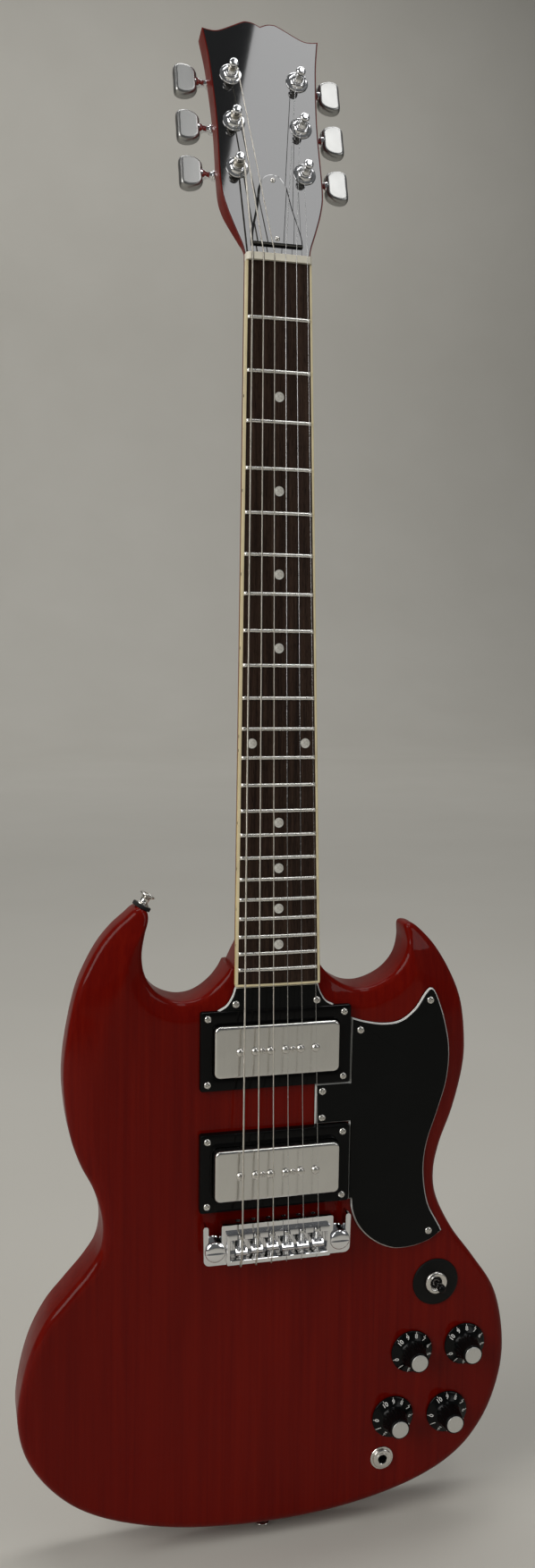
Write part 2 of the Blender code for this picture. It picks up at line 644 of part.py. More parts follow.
def make_guards():
    neck_guard = spline([(28.2, 164.6), (30.2, 158.5), (34.0, 152.6), (39.5, 149.4)], 2, closed=False)
    outline = neck_guard + [(-x, z) for x, z in reversed(neck_guard)]
    piece("neck_guard", prism(outline, FACE - GAP - 2.2, FACE - GAP), black_plastic())

    wing = spline([(52.0, 139.6), (62.0, 136.4), (75.0, 134.2), (87.0, 135.6), (97.0, 143.0),
                   (104.0, 153.4), (108.2, 156.8), (112.5, 152.6), (119.0, 134.5), (123.0, 113.0),
                   (121.6, 91.0), (115.5, 69.5), (108.6, 48.0), (106.6, 28.0), (110.2, 5.0),
                   (119.5, -13.2)], 2, closed=False)
    tail = spline([(121.2, -16.8), (111.5, -23.2), (97.0, -26.6), (83.5, -25.6), (70.0, -18.4),
                   (60.0, -7.6), (55.0, 4.0), (54.0, 12.4)], 2, closed=False)
    half = RING_SIZE[0] / 2 + 0.5
    lower = NECK_PICKUP_Z - RING_SIZE[1] / 2 - 0.5
    upper = BRIDGE_PICKUP_Z + RING_SIZE[1] / 2 + 0.5
    inner = [(half, 12.4), (half, upper), (27.5, upper), (27.5, lower), (half, lower)]
    piece("pickguard", prism(wing + tail + inner, FACE - GAP - 2.2, FACE - GAP), black_plastic())


def make_pickup(name, height):
    """Ring, cover and coil. The cover and coil slide together along Y in the ring."""
    ring_top = FACE - GAP - RING_THICKNESS[name]
    ring = piece(f"{name}_pickup_ring", prism(rounded(*RING_SIZE, 1.5, 2, (0.0, height)), ring_top,
                                              FACE - GAP), black_plastic())
    window = rounded(COVER_SIZE[0] + 1.2, COVER_SIZE[1] + 1.2, 4.6, 4, (0.0, height))
    cut(ring, f"cut_{name}_ring_window", prism(window, FACE - 12.0, FACE + 5.0))
    top = FACE - COVER_RISE[name]
    base = (0.0, top, height)
    cover = piece(f"{name}_pickup_cover", prism(rounded(*COVER_SIZE, 4.0, 4), 0.0, COVER_DEPTH), chrome(),
                  base)
    inner = [size - 2 * COVER_WALL for size in COVER_SIZE]
    cut(cover, f"cut_{name}_cover_room", prism(rounded(*inner, 3.2, 4), COVER_WALL, COVER_DEPTH + 5.0), base)
    coil = prism(rounded(COIL_SIZE[0], COIL_SIZE[1], 6.0, 3), COVER_WALL + GAP, COIL_SIZE[2])
    piece(f"{name}_pickup_coil", coil, black_plastic(), base)
    plate = prism(rounded(COIL_SIZE[0], COIL_SIZE[1], 2.0, 2), COIL_SIZE[2] - 1.0, COIL_SIZE[2] + 3.0)
    fuse(bpy.data.objects[f"{name}_pickup_coil"], f"add_{name}_magnets", plate, base)


def make_bridge():
    """One-piece bridge: a notch at each end hooks round a stud, and a pocket holds the saddles."""
    notch = 4.4
    turns = [math.pi * step / 6 for step in range(12, 5, -1)]
    arc = [(STUD_X + notch * math.cos(turn), STUD_Z + notch * math.sin(turn)) for turn in turns]
    right = [(BRIDGE_HALF - 1.5, BRIDGE_BOTTOM_Z), (BRIDGE_HALF, BRIDGE_BOTTOM_Z + 2.0),
             (BRIDGE_HALF + 0.4, BRIDGE_TOP_Z + 0.4), (STUD_X + notch, BRIDGE_TOP_Z + 0.4)]
    right += arc + [(STUD_X - notch, BRIDGE_TOP_Z)]
    outline = right + [(-x, z) for x, z in reversed(right)]
    bridge = piece("bridge", prism(outline, BRIDGE_DECK, BRIDGE_UNDERSIDE), chrome())
    crown = block((-CROWN_HALF, BRIDGE_CROWN, BRIDGE_BOTTOM_Z + 0.6),
                  (CROWN_HALF, BRIDGE_DECK + 2.0, CROWN_TOP_Z))
    fuse(bridge, "add_bridge_crown", crown)
    cut(bridge, "cut_saddle_pocket", block((-33.0, BRIDGE_CROWN - 5.0, -14.8), (33.0, POCKET_FLOOR, -0.9)))
    for index in range(6):
        bore = cylinder(1.6, BRIDGE_BOTTOM_Z - 5.0, BRIDGE_TOP_Z + 5.0, 8)
        place = ((index / 5 - 0.5) * BRIDGE_SPREAD, STRING_HOLE_Y, 0.0)
        cut(bridge, f"cut_string_hole_{index + 1}", bore, place)

    for index, place in enumerate(SADDLE_Z):
        make_saddle(index, place)
    for side, x in (("bass", -STUD_X), ("treble", STUD_X)):
        make_stud(side, x)


def make_saddle(index, place):
    """A block with a roof that the string bears on, free to slide along Z in the pocket."""
    half = SADDLE_SIZE[0] / 2
    x = (index / 5 - 0.5) * BRIDGE_SPREAD
    length = SADDLE_SIZE[1] / 2
    floor = POCKET_FLOOR - GAP
    roof = FACE - SADDLE_STRING_HEIGHT + STRING_DIAMETERS[index] / 2 + 0.15
    profile = [(floor, -length), (roof + 2.6, -length), (roof, -0.4), (roof, 0.4), (roof + 3.4, length),
               (floor, length)]
    rings = [[(edge, y, z) for y, z in profile] for edge in (-half, half)]
    piece(f"saddle_{index + 1}", loft(rings), nickel(), (x, 0.0, place))


def make_stud(side, x):
    """Threaded post, a flange under the bridge and a slotted head over it."""
    under = -BRIDGE_UNDERSIDE
    over = -BRIDGE_DECK
    profile = [(0.0, 14.0), (3.8, 14.0), (3.8, -FACE + 0.8), (6.6, -FACE + 0.8), (6.6, under - GAP),
               (3.8, under - GAP), (3.8, over + GAP), (STUD_HEAD, over + GAP), (STUD_HEAD, over + 1.8),
               (STUD_HEAD - 1.6, over + 3.4), (0.0, over + 3.4)]
    stud = piece(f"{side}_bridge_stud", lathe(profile, 12), chrome(), (x, 0.0, STUD_Z), (math.pi / 2, 0, 0))
    cut(stud, f"cut_{side}_stud_slot", block((-8.0, -0.7, over + 2.2), (8.0, 0.7, over + 6.0)),
        (x, 0.0, STUD_Z), (math.pi / 2, 0, 0))


def make_pots():
    """Four potentiometers on one plate, each with a bushing through the body's face."""
    low = -CAVITY_FLOOR - GAP
    middle, lean = (114.0, -127.0), 0.26
    plate = rounded(60.0, 74.0, 8.0, 2, middle)
    outline = [(x + (z - middle[1]) * lean, z) for x, z in plate]
    pots = piece("control_pots", prism(outline, -low, 1.5 - low), steel())
    for number, (x, z) in enumerate(KNOBS):
        top = -FACE + 3.2
        profile = [(0.0, low - 11.0), (11.6, low - 11.0), (12.0, low - 10.0), (12.0, low - 1.0),
                   (4.7, low - 1.0), (4.7, top), (3.5, top), (3.5, low - 6.0), (0.0, low - 6.0)]
        fuse(pots, f"add_pot_{number + 1}", lathe(profile, 12), (x, 0.0, z), (math.pi / 2, 0, 0))
        cut(pots, f"cut_pot_shaft_{number + 1}", cylinder(3.5, low - 6.0, top + 4.0, 12), (x, 0.0, z),
            (math.pi / 2, 0, 0))


def make_knobs():
    """Each knob has a numbered skirt, a cone and a shaft that turns in its potentiometer."""
    base = -FACE + 0.6
    top = base + KNOB_HEIGHT
    profile = [(0.0, 24.0), (3.1, 24.0), (3.1, base + 5.5), (8.0, base + 5.5), (8.0, base),
               (KNOB_RADIUS, base), (KNOB_RADIUS, base + 1.2), (9.8, base + 4.0), (8.2, base + 7.0),
               (6.9, top - 1.0), (6.3, top - 0.3), (0.0, top)]
    for number, (x, z) in enumerate(KNOBS):
        piece(f"knob_{number + 1}", lathe(profile, 16), black_plastic(), (x, 0.0, z), (math.pi / 2, 0, 0))


def make_switch():
    """Three-way switch: a bushing with its frame in the cavity, and a lever that rocks in it."""
    low, top = -CAVITY_FLOOR - GAP, -FACE + 5.6
    profile = [(0.0, low - 15.0), (5.9, low - 15.0), (5.9, top), (4.2, top), (3.4, top - 8.2),
               (0.0, top - 8.2)]
    place = (SWITCH[0], 0.0, SWITCH[1])
    switch = piece("switch_body", lathe(profile, 14), nickel(), place, (math.pi / 2, SWITCH_SWING, 0))
    fuse(switch, "add_switch_frame", block((-10.0, -8.0, low - 14.0), (10.0, 8.0, low)), place,
         (math.pi / 2, SWITCH_SWING, 0))
    pivot = top - 4.6
    lever = [(0.0, -2.9), (2.3, -2.0), (2.9, 0.0), (2.3, 1.8), (1.6, 2.6), (1.6, 8.0), (2.6, 12.5),
             (2.9, 15.0), (2.2, 17.0), (0.0, 17.8)]
    frame = empty("switch_frame", (SWITCH[0], -pivot, SWITCH[1]), (0.0, SWITCH_SWING, 0.0))
    piece("switch_lever", lathe(lever, 12), black_plastic(), rotation=(math.pi / 2 - SWITCH_TILT, 0, 0),
          parent=frame)


def make_jack():
    """Socket with its through bore, the flange outside and the spring frame in the cavity."""
    low, top = -CAVITY_FLOOR - GAP, -FACE + 2.4
    profile = [(3.3, low - 5.0), (9.0, low - 5.0), (9.0, low), (6.1, low), (6.1, -FACE + GAP),
               (8.3, -FACE + GAP), (8.3, top - 0.5), (7.7, top), (3.3, top)]
    piece("output_jack", lathe(profile, 16, ring=True), nickel(), (JACK[0], 0.0, JACK[1]),
          (math.pi / 2, 0, 0))


def make_control_cover():
    outline = grown(spline(CONTROL_CAVITY, 2), 6.0)
    piece("control_cover", prism(outline, -2.3, -0.3), black_plastic())


def make_strap_buttons():
    """A flared button on its screw at each end of the body."""
    profile = [(0.0, -22.0), (1.8, -20.0), (1.8, GAP), (5.0, GAP), (5.0, GAP + 1.0), (2.9, GAP + 3.0),
               (2.9, 6.4), (5.5, 8.6), (5.5, 9.5), (4.7, 10.2), (0.0, 10.2)]
    for name, (place, turn) in (("upper", UPPER_STRAP), ("lower", LOWER_STRAP)):
        piece(f"{name}_strap_button", lathe(profile, 16), chrome(), place, (0.0, turn, 0.0))


def main():
    clear_scene()
    nut_y = FACE - BOARD_RISE + BOARD_LENGTH * math.sin(NECK_ANGLE)
    neck_frame = empty("neck_frame", (0.0, nut_y, NUT_HEIGHT), (-NECK_ANGLE, 0.0, 0.0))
    head_frame = empty("head_frame", (0.0, 4.5, NUT_LENGTH), (-HEAD_ANGLE, 0.0, 0.0), neck_frame)
    body = make_body()
    hollow_body(body, neck_frame)
    make_neck(neck_frame, head_frame)
    make_headstock_veneer(head_frame)
    make_fretboard(neck_frame)
    make_binding(neck_frame)
    make_nut(neck_frame)
    make_truss_rod(neck_frame)
    make_truss_cover(head_frame)
    for number, side, height in tuner_places():
        make_tuner(number, side, height, head_frame)
    make_strings(neck_frame, head_frame)
    make_guards()
    make_pickup("neck", NECK_PICKUP_Z)
    make_pickup("bridge", BRIDGE_PICKUP_Z)
    make_bridge()
    make_pots()
    make_knobs()
    make_switch()
    make_jack()
    make_control_cover()
    make_strap_buttons()


main()
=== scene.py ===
"""Studio picture of a double-cutaway electric guitar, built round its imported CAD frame.

Lengths are in millimetres unless a name ends in _M, and MM turns them into metres.
"""

import json
import math

import bmesh
import bpy
import numpy as np
from mathutils import Matrix, Vector
from mathutils.geometry import delaunay_2d_cdt


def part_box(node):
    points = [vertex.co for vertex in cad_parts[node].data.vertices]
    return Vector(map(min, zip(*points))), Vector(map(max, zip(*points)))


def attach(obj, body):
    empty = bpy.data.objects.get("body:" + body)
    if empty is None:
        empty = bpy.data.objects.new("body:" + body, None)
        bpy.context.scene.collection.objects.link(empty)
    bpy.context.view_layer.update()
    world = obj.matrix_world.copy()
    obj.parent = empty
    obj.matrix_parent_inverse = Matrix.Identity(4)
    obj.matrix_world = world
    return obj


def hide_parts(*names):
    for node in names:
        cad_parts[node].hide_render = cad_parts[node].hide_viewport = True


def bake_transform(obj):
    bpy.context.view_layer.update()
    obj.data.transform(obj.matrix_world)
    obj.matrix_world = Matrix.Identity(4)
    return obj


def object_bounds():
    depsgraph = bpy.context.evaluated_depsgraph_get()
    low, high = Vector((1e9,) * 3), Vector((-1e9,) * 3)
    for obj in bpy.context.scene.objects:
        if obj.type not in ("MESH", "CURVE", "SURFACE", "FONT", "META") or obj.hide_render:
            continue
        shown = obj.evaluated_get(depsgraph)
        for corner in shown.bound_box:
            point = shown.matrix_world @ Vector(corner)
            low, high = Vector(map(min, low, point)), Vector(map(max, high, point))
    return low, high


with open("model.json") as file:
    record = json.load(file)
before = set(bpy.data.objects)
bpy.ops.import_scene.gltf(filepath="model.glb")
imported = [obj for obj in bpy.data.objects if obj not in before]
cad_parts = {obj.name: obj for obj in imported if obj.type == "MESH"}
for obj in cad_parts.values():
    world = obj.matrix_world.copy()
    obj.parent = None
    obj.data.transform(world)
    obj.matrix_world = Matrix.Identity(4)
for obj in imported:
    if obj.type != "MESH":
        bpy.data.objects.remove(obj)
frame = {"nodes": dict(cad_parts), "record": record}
CAD_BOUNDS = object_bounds()
MM = 0.001
JOINTS = {joint["name"]: joint for joint in frame["record"]["behaviour"]["joints"]}
QUARTER = math.pi / 2

# Camera, in metres and degrees: a level view along +Y, then turned about an axis.
CAMERA_PLACE_M = (-0.2101, -0.8298, 0.3863)
CAMERA_AXIS = (-0.40252, 0.0, -0.91541)
CAMERA_TURN = 15.538
LENS_MM = 29.31

# Neck, headstock and strings, as in the CAD.
SCALE_LENGTH = 628.65
NECK_ANGLE = math.radians(3.0)
HEAD_ANGLE = math.radians(16.0)
FACE = -35.0
NUT_HEIGHT = 628.0
BOARD_LENGTH = 463.3
BOARD_RISE = 6.2
BOARD_THICKNESS = 5.0
BOARD_RADIUS = 305.0
BOARD_START = 0.05
NUT_WIDTH = 43.0
NUT_LENGTH = 4.5
WIDTH_PER_MM = (52.4 - NUT_WIDTH) / (SCALE_LENGTH / 2)
BINDING = 1.6
FRETS = 22
DOT_FRETS = (3, 5, 7, 9, 15, 17, 19, 21)
NECK_SHAFT = 452.0
NECK_TOP = 5.02
HEAD_SIDE = [
    (21.5, 0.3), (23, 8), (27, 19.5), (32, 36), (34.2, 52), (34, 91), (34.7, 114.5), (36.4, 141),
    (37.7, 153), (39.6, 166.4),
]
HEAD_CREST = [
    (39.6, 166.4), (35.2, 165.5), (30.4, 165.5), (25.6, 167.4), (18.4, 171.4), (11.5, 175.1),
    (8.2, 175.6), (4.5, 175), (0, 172.8),
]
HEAD_THICKNESS = 14.0
VENEER = 1.5
TUNER_X = 22.5
TUNER_ROWS = (62.4, 97.1, 132.2)
POST_NECK_RADIUS = 2.36
POST_STRING_HEIGHT = 7.6
WORM_BEHIND_FACE = 17.5
WORM_OFFSET = 6.0
CASE_OFFSET = 2.6
BUTTON_CENTRE = 26.9
BUTTON_LENGTH = 24.0
BUTTON_WIDTH = 15.6
BUTTON_THICKNESS = 7.6
STRING_DIAMETERS = (1.17, 0.91, 0.66, 0.43, 0.33, 0.25)
NUT_SPREAD = 35.8
BRIDGE_SPREAD = 51.8
NUT_STRING_HEIGHT = 1.7
SADDLE_STRING_HEIGHT = 21.5

# Body outline as (x, z), from the bass side of the neck joint round to the treble side.
BODY_EDGE_AT_NECK = 180.0
SHOULDER = 175.8
EDGE_RADIUS = 3.5
BODY_OUTLINE = [
    (-28.5, 180), (-34, 170.5), (-42.5, 161.8), (-52, 156.2), (-62.5, 154.9), (-73, 158),
    (-81, 164.3), (-86.6, 174.5), (-88.2, 187), (-86.3, 200), (-83.8, 210.5), (-86, 216.8),
    (-92, 216.6), (-98.3, 211.4), (-106.5, 204.2), (-115, 194), (-122.5, 181), (-129.5, 164.5),
    (-134.8, 142), (-138.3, 117), (-138.2, 95), (-134.5, 69.3), (-128, 49.5), (-119, 31),
    (-113.8, 10), (-115.5, -8), (-124, -22), (-137.5, -37.5), (-150, -52.5), (-160.5, -73),
    (-167, -97), (-169.5, -121), (-164.5, -146), (-150.5, -169), (-129, -188.5), (-98, -203),
    (-55, -213.5), (0, -217.8), (55, -215), (105, -204), (139, -186.5), (160, -161), (171, -129),
    (172, -99), (164.5, -67), (148, -41.5), (131, -18.5), (119, 5), (116.3, 24), (120.5, 44.5),
    (129.5, 68), (136.5, 95), (138, 116), (135, 143), (127, 163.5), (115, 183), (103, 195.8),
    (96.5, 199.8), (91.8, 198), (93.2, 187), (91, 177), (86.3, 169.6), (79.3, 163.6), (69.7, 159.2),
    (60, 157.7), (50, 159.8), (40, 166), (32.5, 173.5), (28.5, 180),
]
BASS_HORN_TIP = 11
TREBLE_HORN_TIP = 58
CONTROL_CAVITY = [
    (97, -60), (102, -41), (118, -35), (134, -41), (141, -60), (154, -82), (159, -108), (153, -140),
    (140, -162), (117, -174), (99, -190), (80, -196), (65, -186), (65, -160), (72, -132), (84, -95),
]
COVER_SCREWS = ((118, -39.2), (151.8, -84), (145.6, -148.4), (79, -192), (76, -124))
STRAP_TURNS = {"upper": math.radians(30.0), "lower": math.radians(180.0)}
STRAP_PLACES = {"upper": (-87.4, -17.5, 215.6), "lower": (0.0, -17.5, -217.5)}

# Where each knob's figure 10 stands, in degrees anticlockwise from the treble side.
KNOB_TENS = (138.0, 146.5, 121.0, 122.0)
KNOB_STEP = 30.0
KNOB_SLOPE = math.radians(24.6)
STUD_X = 42.5
STUD_Z = -8.8
BRIDGE_TOP_Z = 8.0
BRIDGE_BOTTOM_Z = -18.5
BRIDGE_HALF = 50.0
BRIDGE_UNDERSIDE = -40.4
BRIDGE_DECK = -49.0
BRIDGE_CROWN = -52.6
POCKET_FLOOR = -45.0
STRING_HOLE_Y = -42.7
SWITCH_SWING = math.radians(-30.0)
SWITCH_TILT = math.radians(12.0)
SHARP_ANGLE = 38.0
SMALLEST_FLAT_CAP = 7


# ---------------------------------------------------------------- materials


def feed(tree, socket, value):
    """Gives a shader input its value, or links another node's output to it."""
    if isinstance(value, bpy.types.NodeSocket):
        tree.links.new(value, socket)
    else:
        socket.default_value = value


def add_node(tree, kind, output, **inputs):
    """Adds a node and returns one of its outputs; an input's name has _ for each space."""
    made = tree.nodes.new("ShaderNode" + kind)
    for name, value in inputs.items():
        feed(tree, made.inputs[name.replace("_", " ")], value)
    return made.outputs[output]


def surface(name, colour, roughness, metallic=0.0, coat=0.0, specular=0.5):
    """A Principled material; returns it with its tree and the shader's inputs."""
    made = bpy.data.materials.new(name)
    made.use_nodes = True
    inputs = made.node_tree.nodes["Principled BSDF"].inputs
    inputs["Base Color"].default_value = (*colour, 1.0)
    inputs["Roughness"].default_value = roughness
    inputs["Metallic"].default_value = metallic
    inputs["Coat Weight"].default_value = coat
    inputs["Coat Roughness"].default_value = 0.04
    inputs["Specular IOR Level"].default_value = specular
    return made, made.node_tree, inputs


def noise(tree, scale, detail=4.0, rough=0.55, distortion=0.0):
    """A noise in object space, stretched by a different scale along each axis."""
    place = add_node(tree, "TexCoord", "Object")
    stretched = add_node(tree, "Mapping", "Vector", Vector=place, Scale=scale)
    return add_node(tree, "TexNoise", "Fac", Vector=stretched, Scale=1.0, Detail=detail,
                    Roughness=rough, Distortion=distortion)


def ramp(tree, factor, *stops):
    """Colours along a factor, as (position, colour) stops."""
    made = tree.nodes.new("ShaderNodeValToRGB")
    elements = made.color_ramp.elements
    for element, (position, colour) in zip((elements[0], elements[1]), (stops[0], stops[-1])):
        element.position = position
        element.color = (*colour, 1.0)
    for position, colour in stops[1:-1]:
        elements.new(position).color = (*colour, 1.0)
    tree.links.new(factor, made.inputs["Fac"])
    return made.outputs["Color"]


def spread(tree, factor, low, high):
    """A number that goes from low to high with a noise."""
    return add_node(tree, "MapRange", "Result", Value=factor, From_Min=0.3, From_Max=0.7,
                    To_Min=low, To_Max=high)


def multiplied(tree, first, second, share):
    """The first colour, darkened by a share of the second."""
    made = tree.nodes.new("ShaderNodeMix")
    made.data_type = "RGBA"
    made.blend_type = "MULTIPLY"
    made.inputs["Factor"].default_value = share
    tree.links.new(first, made.inputs["A"])
    tree.links.new(second, made.inputs["B"])
    return made.outputs["Result"]


def bump(tree, inputs, height, strength, distance):
    normal = add_node(tree, "Bump", "Normal", Strength=strength, Distance=distance, Height=height)
    tree.links.new(normal, inputs["Normal"])


def lacquered_wood(name, dark, middle, bright):
    """Stained mahogany under clear gloss: long figure, fine pores and a slow change of tone."""
    made, tree, inputs = surface(name, middle, 0.34, coat=0.2, specular=0.03)
    inputs["Coat Roughness"].default_value = 0.03
    figure = ramp(tree, noise(tree, (330, 330, 7), 6, 0.62, 0.5),
                  (0.28, dark), (0.5, middle), (0.74, bright))
    pores = ramp(tree, noise(tree, (2600, 2600, 70), 3, 0.7),
                 (0.3, (0.5, 0.45, 0.45)), (0.44, (1, 1, 1)))
    tone = ramp(tree, noise(tree, (11, 8, 2.5), 2),
                (0.3, (0.88, 0.84, 0.84)), (0.7, (1.08, 1.06, 1.06)))
    stained = multiplied(tree, figure, pores, 0.3)
    feed(tree, inputs["Base Color"], multiplied(tree, stained, tone, 1.0))
    feed(tree, inputs["Roughness"], spread(tree, noise(tree, (60, 60, 60)), 0.3, 0.44))
    return made


def rosewood():
    made, tree, inputs = surface("dark_rosewood", (0.03, 0.016, 0.01), 0.45, specular=0.08)
    streaks = ramp(tree, noise(tree, (420, 420, 9), 6, 0.65, 0.6), (0.3, (0.014, 0.009, 0.007)),
                   (0.5, (0.034, 0.020, 0.014)), (0.75, (0.068, 0.040, 0.027)))
    grain = noise(tree, (2600, 2600, 160), 3, 0.7)
    pores = ramp(tree, grain, (0.38, (0.3, 0.3, 0.3)), (0.5, (1, 1, 1)))
    feed(tree, inputs["Base Color"], multiplied(tree, streaks, pores, 0.8))
    feed(tree, inputs["Roughness"], spread(tree, noise(tree, (90, 90, 30)), 0.36, 0.5))
    bump(tree, inputs, grain, 0.35, 0.0001)
    return made


def plastic(name, colour, roughness, coat=0.0, specular=0.3, speck=900.0):
    """Moulded plastic or gloss lacquer with a little haze and very fine texture."""
    made, tree, inputs = surface(name, colour, roughness, coat=coat, specular=specular)
    drift = 0.12
    light = tuple(min(1.0, value * (1 + drift)) for value in colour)
    dark = tuple(value * (1 - drift) for value in colour)
    haze = noise(tree, (speck, speck, speck))
    tone = noise(tree, (40, 40, 40), 3)
    feed(tree, inputs["Base Color"], ramp(tree, tone, (0.3, dark), (0.7, light)))
    feed(tree, inputs["Roughness"], spread(tree, haze, roughness * 0.85, roughness * 1.3))
    return made


def metal(name, colour, roughness, grain=(300, 300, 300), wear=0.35):
    """Plated metal: polish that varies, and fine handling marks."""
    made, tree, inputs = surface(name, colour, roughness, metallic=1.0)
    dull = tuple(value * (1 - 0.14 * wear) for value in colour)
    tone = noise(tree, (70, 70, 70), 5)
    feed(tree, inputs["Base Color"], ramp(tree, tone, (0.32, dull), (0.6, colour)))
    marks = noise(tree, grain, 5, 0.65)
    low, high = roughness * (1 - wear), roughness * (1 + 1.4 * wear)
    feed(tree, inputs["Roughness"], spread(tree, marks, low, high))
    return made


def wound_string():
    """Nickel wrap wire: fine turns across the string, with painted shade in the grooves between
    them.
    """
    made, tree, inputs = surface("wound_nickel", (0.62, 0.58, 0.5), 0.3, metallic=1.0)
    wave = tree.nodes.new("ShaderNodeTexWave")
    wave.bands_direction = "Z"
    feed(tree, wave.inputs["Scale"], 900.0)
    feed(tree, wave.inputs["Vector"], add_node(tree, "TexCoord", "Object"))
    turns = wave.outputs["Fac"]
    # The colour is darker in the grooves between the turns: painted shade.
    feed(tree, inputs["Base Color"],
         ramp(tree, turns, (0.1, (0.3, 0.28, 0.24)), (0.6, (0.7, 0.66, 0.58))))
    bump(tree, inputs, turns, 0.5, 0.0001)
    return made


def felt():
    made, tree, inputs = surface("black_felt", (0.012, 0.012, 0.012), 0.95)
    fibres = noise(tree, (1800, 1800, 1800), 6, 0.8)
    feed(tree, inputs["Base Color"],
         ramp(tree, fibres, (0.3, (0.003, 0.003, 0.003)), (0.7, (0.02, 0.0195, 0.019))))
    bump(tree, inputs, fibres, 0.8, 0.0003)
    return made


def pearl():
    made, tree, inputs = surface("pearl_dots", (0.7, 0.68, 0.62), 0.25, coat=0.5)
    clouds = noise(tree, (320, 320, 200), 4, 0.5, 1.2)
    feed(tree, inputs["Base Color"], ramp(tree, clouds, (0.3, (0.42, 0.4, 0.36)),
                                          (0.5, (0.7, 0.68, 0.62)), (0.7, (0.86, 0.86, 0.8))))
    return made


CHERRY = lacquered_wood("cherry_lacquer", (0.112, 0.0017, 0.0003), (0.138, 0.003, 0.0005),
                        (0.165, 0.005, 0.0009))
NECK_WOOD = lacquered_wood("cherry_neck", (0.095, 0.0028, 0.001), (0.13, 0.0055, 0.002),
                           (0.17, 0.0095, 0.0034))
ROSEWOOD = rosewood()
CREAM = plastic("aged_cream", (0.82, 0.71, 0.45), 0.3, 0.15)
BONE = plastic("bone_nut", (0.78, 0.74, 0.62), 0.38, 0.1)
BLACK_LACQUER = plastic("black_lacquer", (0.003, 0.003, 0.0033), 0.03, 1.0, 0.6, speck=260)
BLACK_GLOSS = plastic("black_gloss", (0.003, 0.003, 0.003), 0.12, specular=0.12)
BLACK_PLASTIC = plastic("black_moulding", (0.003, 0.0034, 0.0034), 0.17, specular=0.13)
BLACK_SATIN = plastic("black_satin", (0.0055, 0.0055, 0.0052), 0.42, specular=0.15)
WHITE_PLY = plastic("white_ply", (0.78, 0.78, 0.75), 0.35)
WHITE_PRINT = plastic("white_print", (0.8, 0.8, 0.77), 0.5)
BUTTON_METAL = metal("button_chrome", (0.36, 0.36, 0.35), 0.3, (60, 60, 60), 0.08)
CHROME = metal("polished_chrome", (0.83, 0.83, 0.84), 0.085)
NICKEL = metal("satin_nickel", (0.72, 0.7, 0.66), 0.2)
COVER_METAL = metal("cover_nickel", (0.70, 0.69, 0.66), 0.2, (900, 60, 60), 0.25)
CAP_METAL = metal("brushed_cap", (0.68, 0.68, 0.66), 0.36, (1400, 200, 120), 0.3)
FRET_METAL = metal("fret_nickel", (0.86, 0.84, 0.79), 0.26)
STEEL = metal("plain_steel", (0.66, 0.66, 0.65), 0.22)
WOUND = wound_string()
FELT = felt()
PEARL = pearl()

# The slot name of each group of materials, and each material's slot name in SLOTS.
SLOT_MATERIALS = {
    "cherry_wood": (CHERRY, NECK_WOOD),
    "rosewood": (ROSEWOOD,),
    "cream_plastic": (CREAM, WHITE_PRINT, PEARL),
    "bone": (BONE,),
    "black_plastic": (BLACK_LACQUER, BLACK_GLOSS, BLACK_PLASTIC, BLACK_SATIN, FELT),
    "chrome": (CHROME, BUTTON_METAL, COVER_METAL, CAP_METAL),
    "nickel": (NICKEL, FRET_METAL),
    "steel": (STEEL, WOUND),
}
SLOTS = {made.name: slot for slot, group in SLOT_MATERIALS.items() for made in group}


# ---------------------------------------------------------------- mesh tools


def new_object(name, data):
    obj = bpy.data.objects.new(name, data)
    bpy.context.collection.objects.link(obj)
    return obj


def finished_mesh(name, mesh):
    """Mesh data in metres from a bmesh in millimetres, which is freed."""
    bmesh.ops.recalc_face_normals(mesh, faces=mesh.faces)
    bmesh.ops.scale(mesh, verts=mesh.verts, vec=(MM, MM, MM))
    data = bpy.data.meshes.new(name)
    mesh.to_mesh(data)
    mesh.free()
    return data


def evaluated_mesh(obj):
    bpy.context.view_layer.update()
    graph = bpy.context.evaluated_depsgraph_get()
    return bpy.data.meshes.new_from_object(obj.evaluated_get(graph), depsgraph=graph)


def shade(data, sharp=SHARP_ANGLE):
    """Smooth, except across sharp edges and on flat many-sided caps."""
    data.set_sharp_from_angle(angle=math.radians(sharp))
    smooth = [len(face.vertices) < SMALLEST_FLAT_CAP for face in data.polygons]
    data.polygons.foreach_set("use_smooth", smooth)


def soften(obj, width):
    """Rounds the object's edges by a width."""
    edges = obj.modifiers.new("soft_edges", "BEVEL")
    edges.width = width * MM
    edges.segments = 3
    edges.limit_method = "ANGLE"
    edges.angle_limit = math.radians(32.0)
    edges.harden_normals = True


def piece(name, mesh, materials, body="guitar", place=None, stands_for=(), slot=None, bevel=0.0,
          sharp=SHARP_ANGLE):
    """An object from a bmesh in millimetres, shaded smooth except across its sharp edges."""
    bmesh.ops.remove_doubles(mesh, verts=mesh.verts, dist=1e-4)
    data = finished_mesh(name, mesh)
    shade(data, sharp)
    materials = materials if isinstance(materials, tuple) else (materials,)
    for material in materials:
        data.materials.append(material)
    obj = new_object(name, data)
    if place is not None:
        obj.matrix_world = place
    if bevel:
        soften(obj, bevel)
    bpy.context.view_layer.update()
    if body:
        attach(obj, body)
    if stands_for:
        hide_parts(*([stands_for] if isinstance(stands_for, str) else stands_for))
    slot or SLOTS[materials[0].name]
    return obj


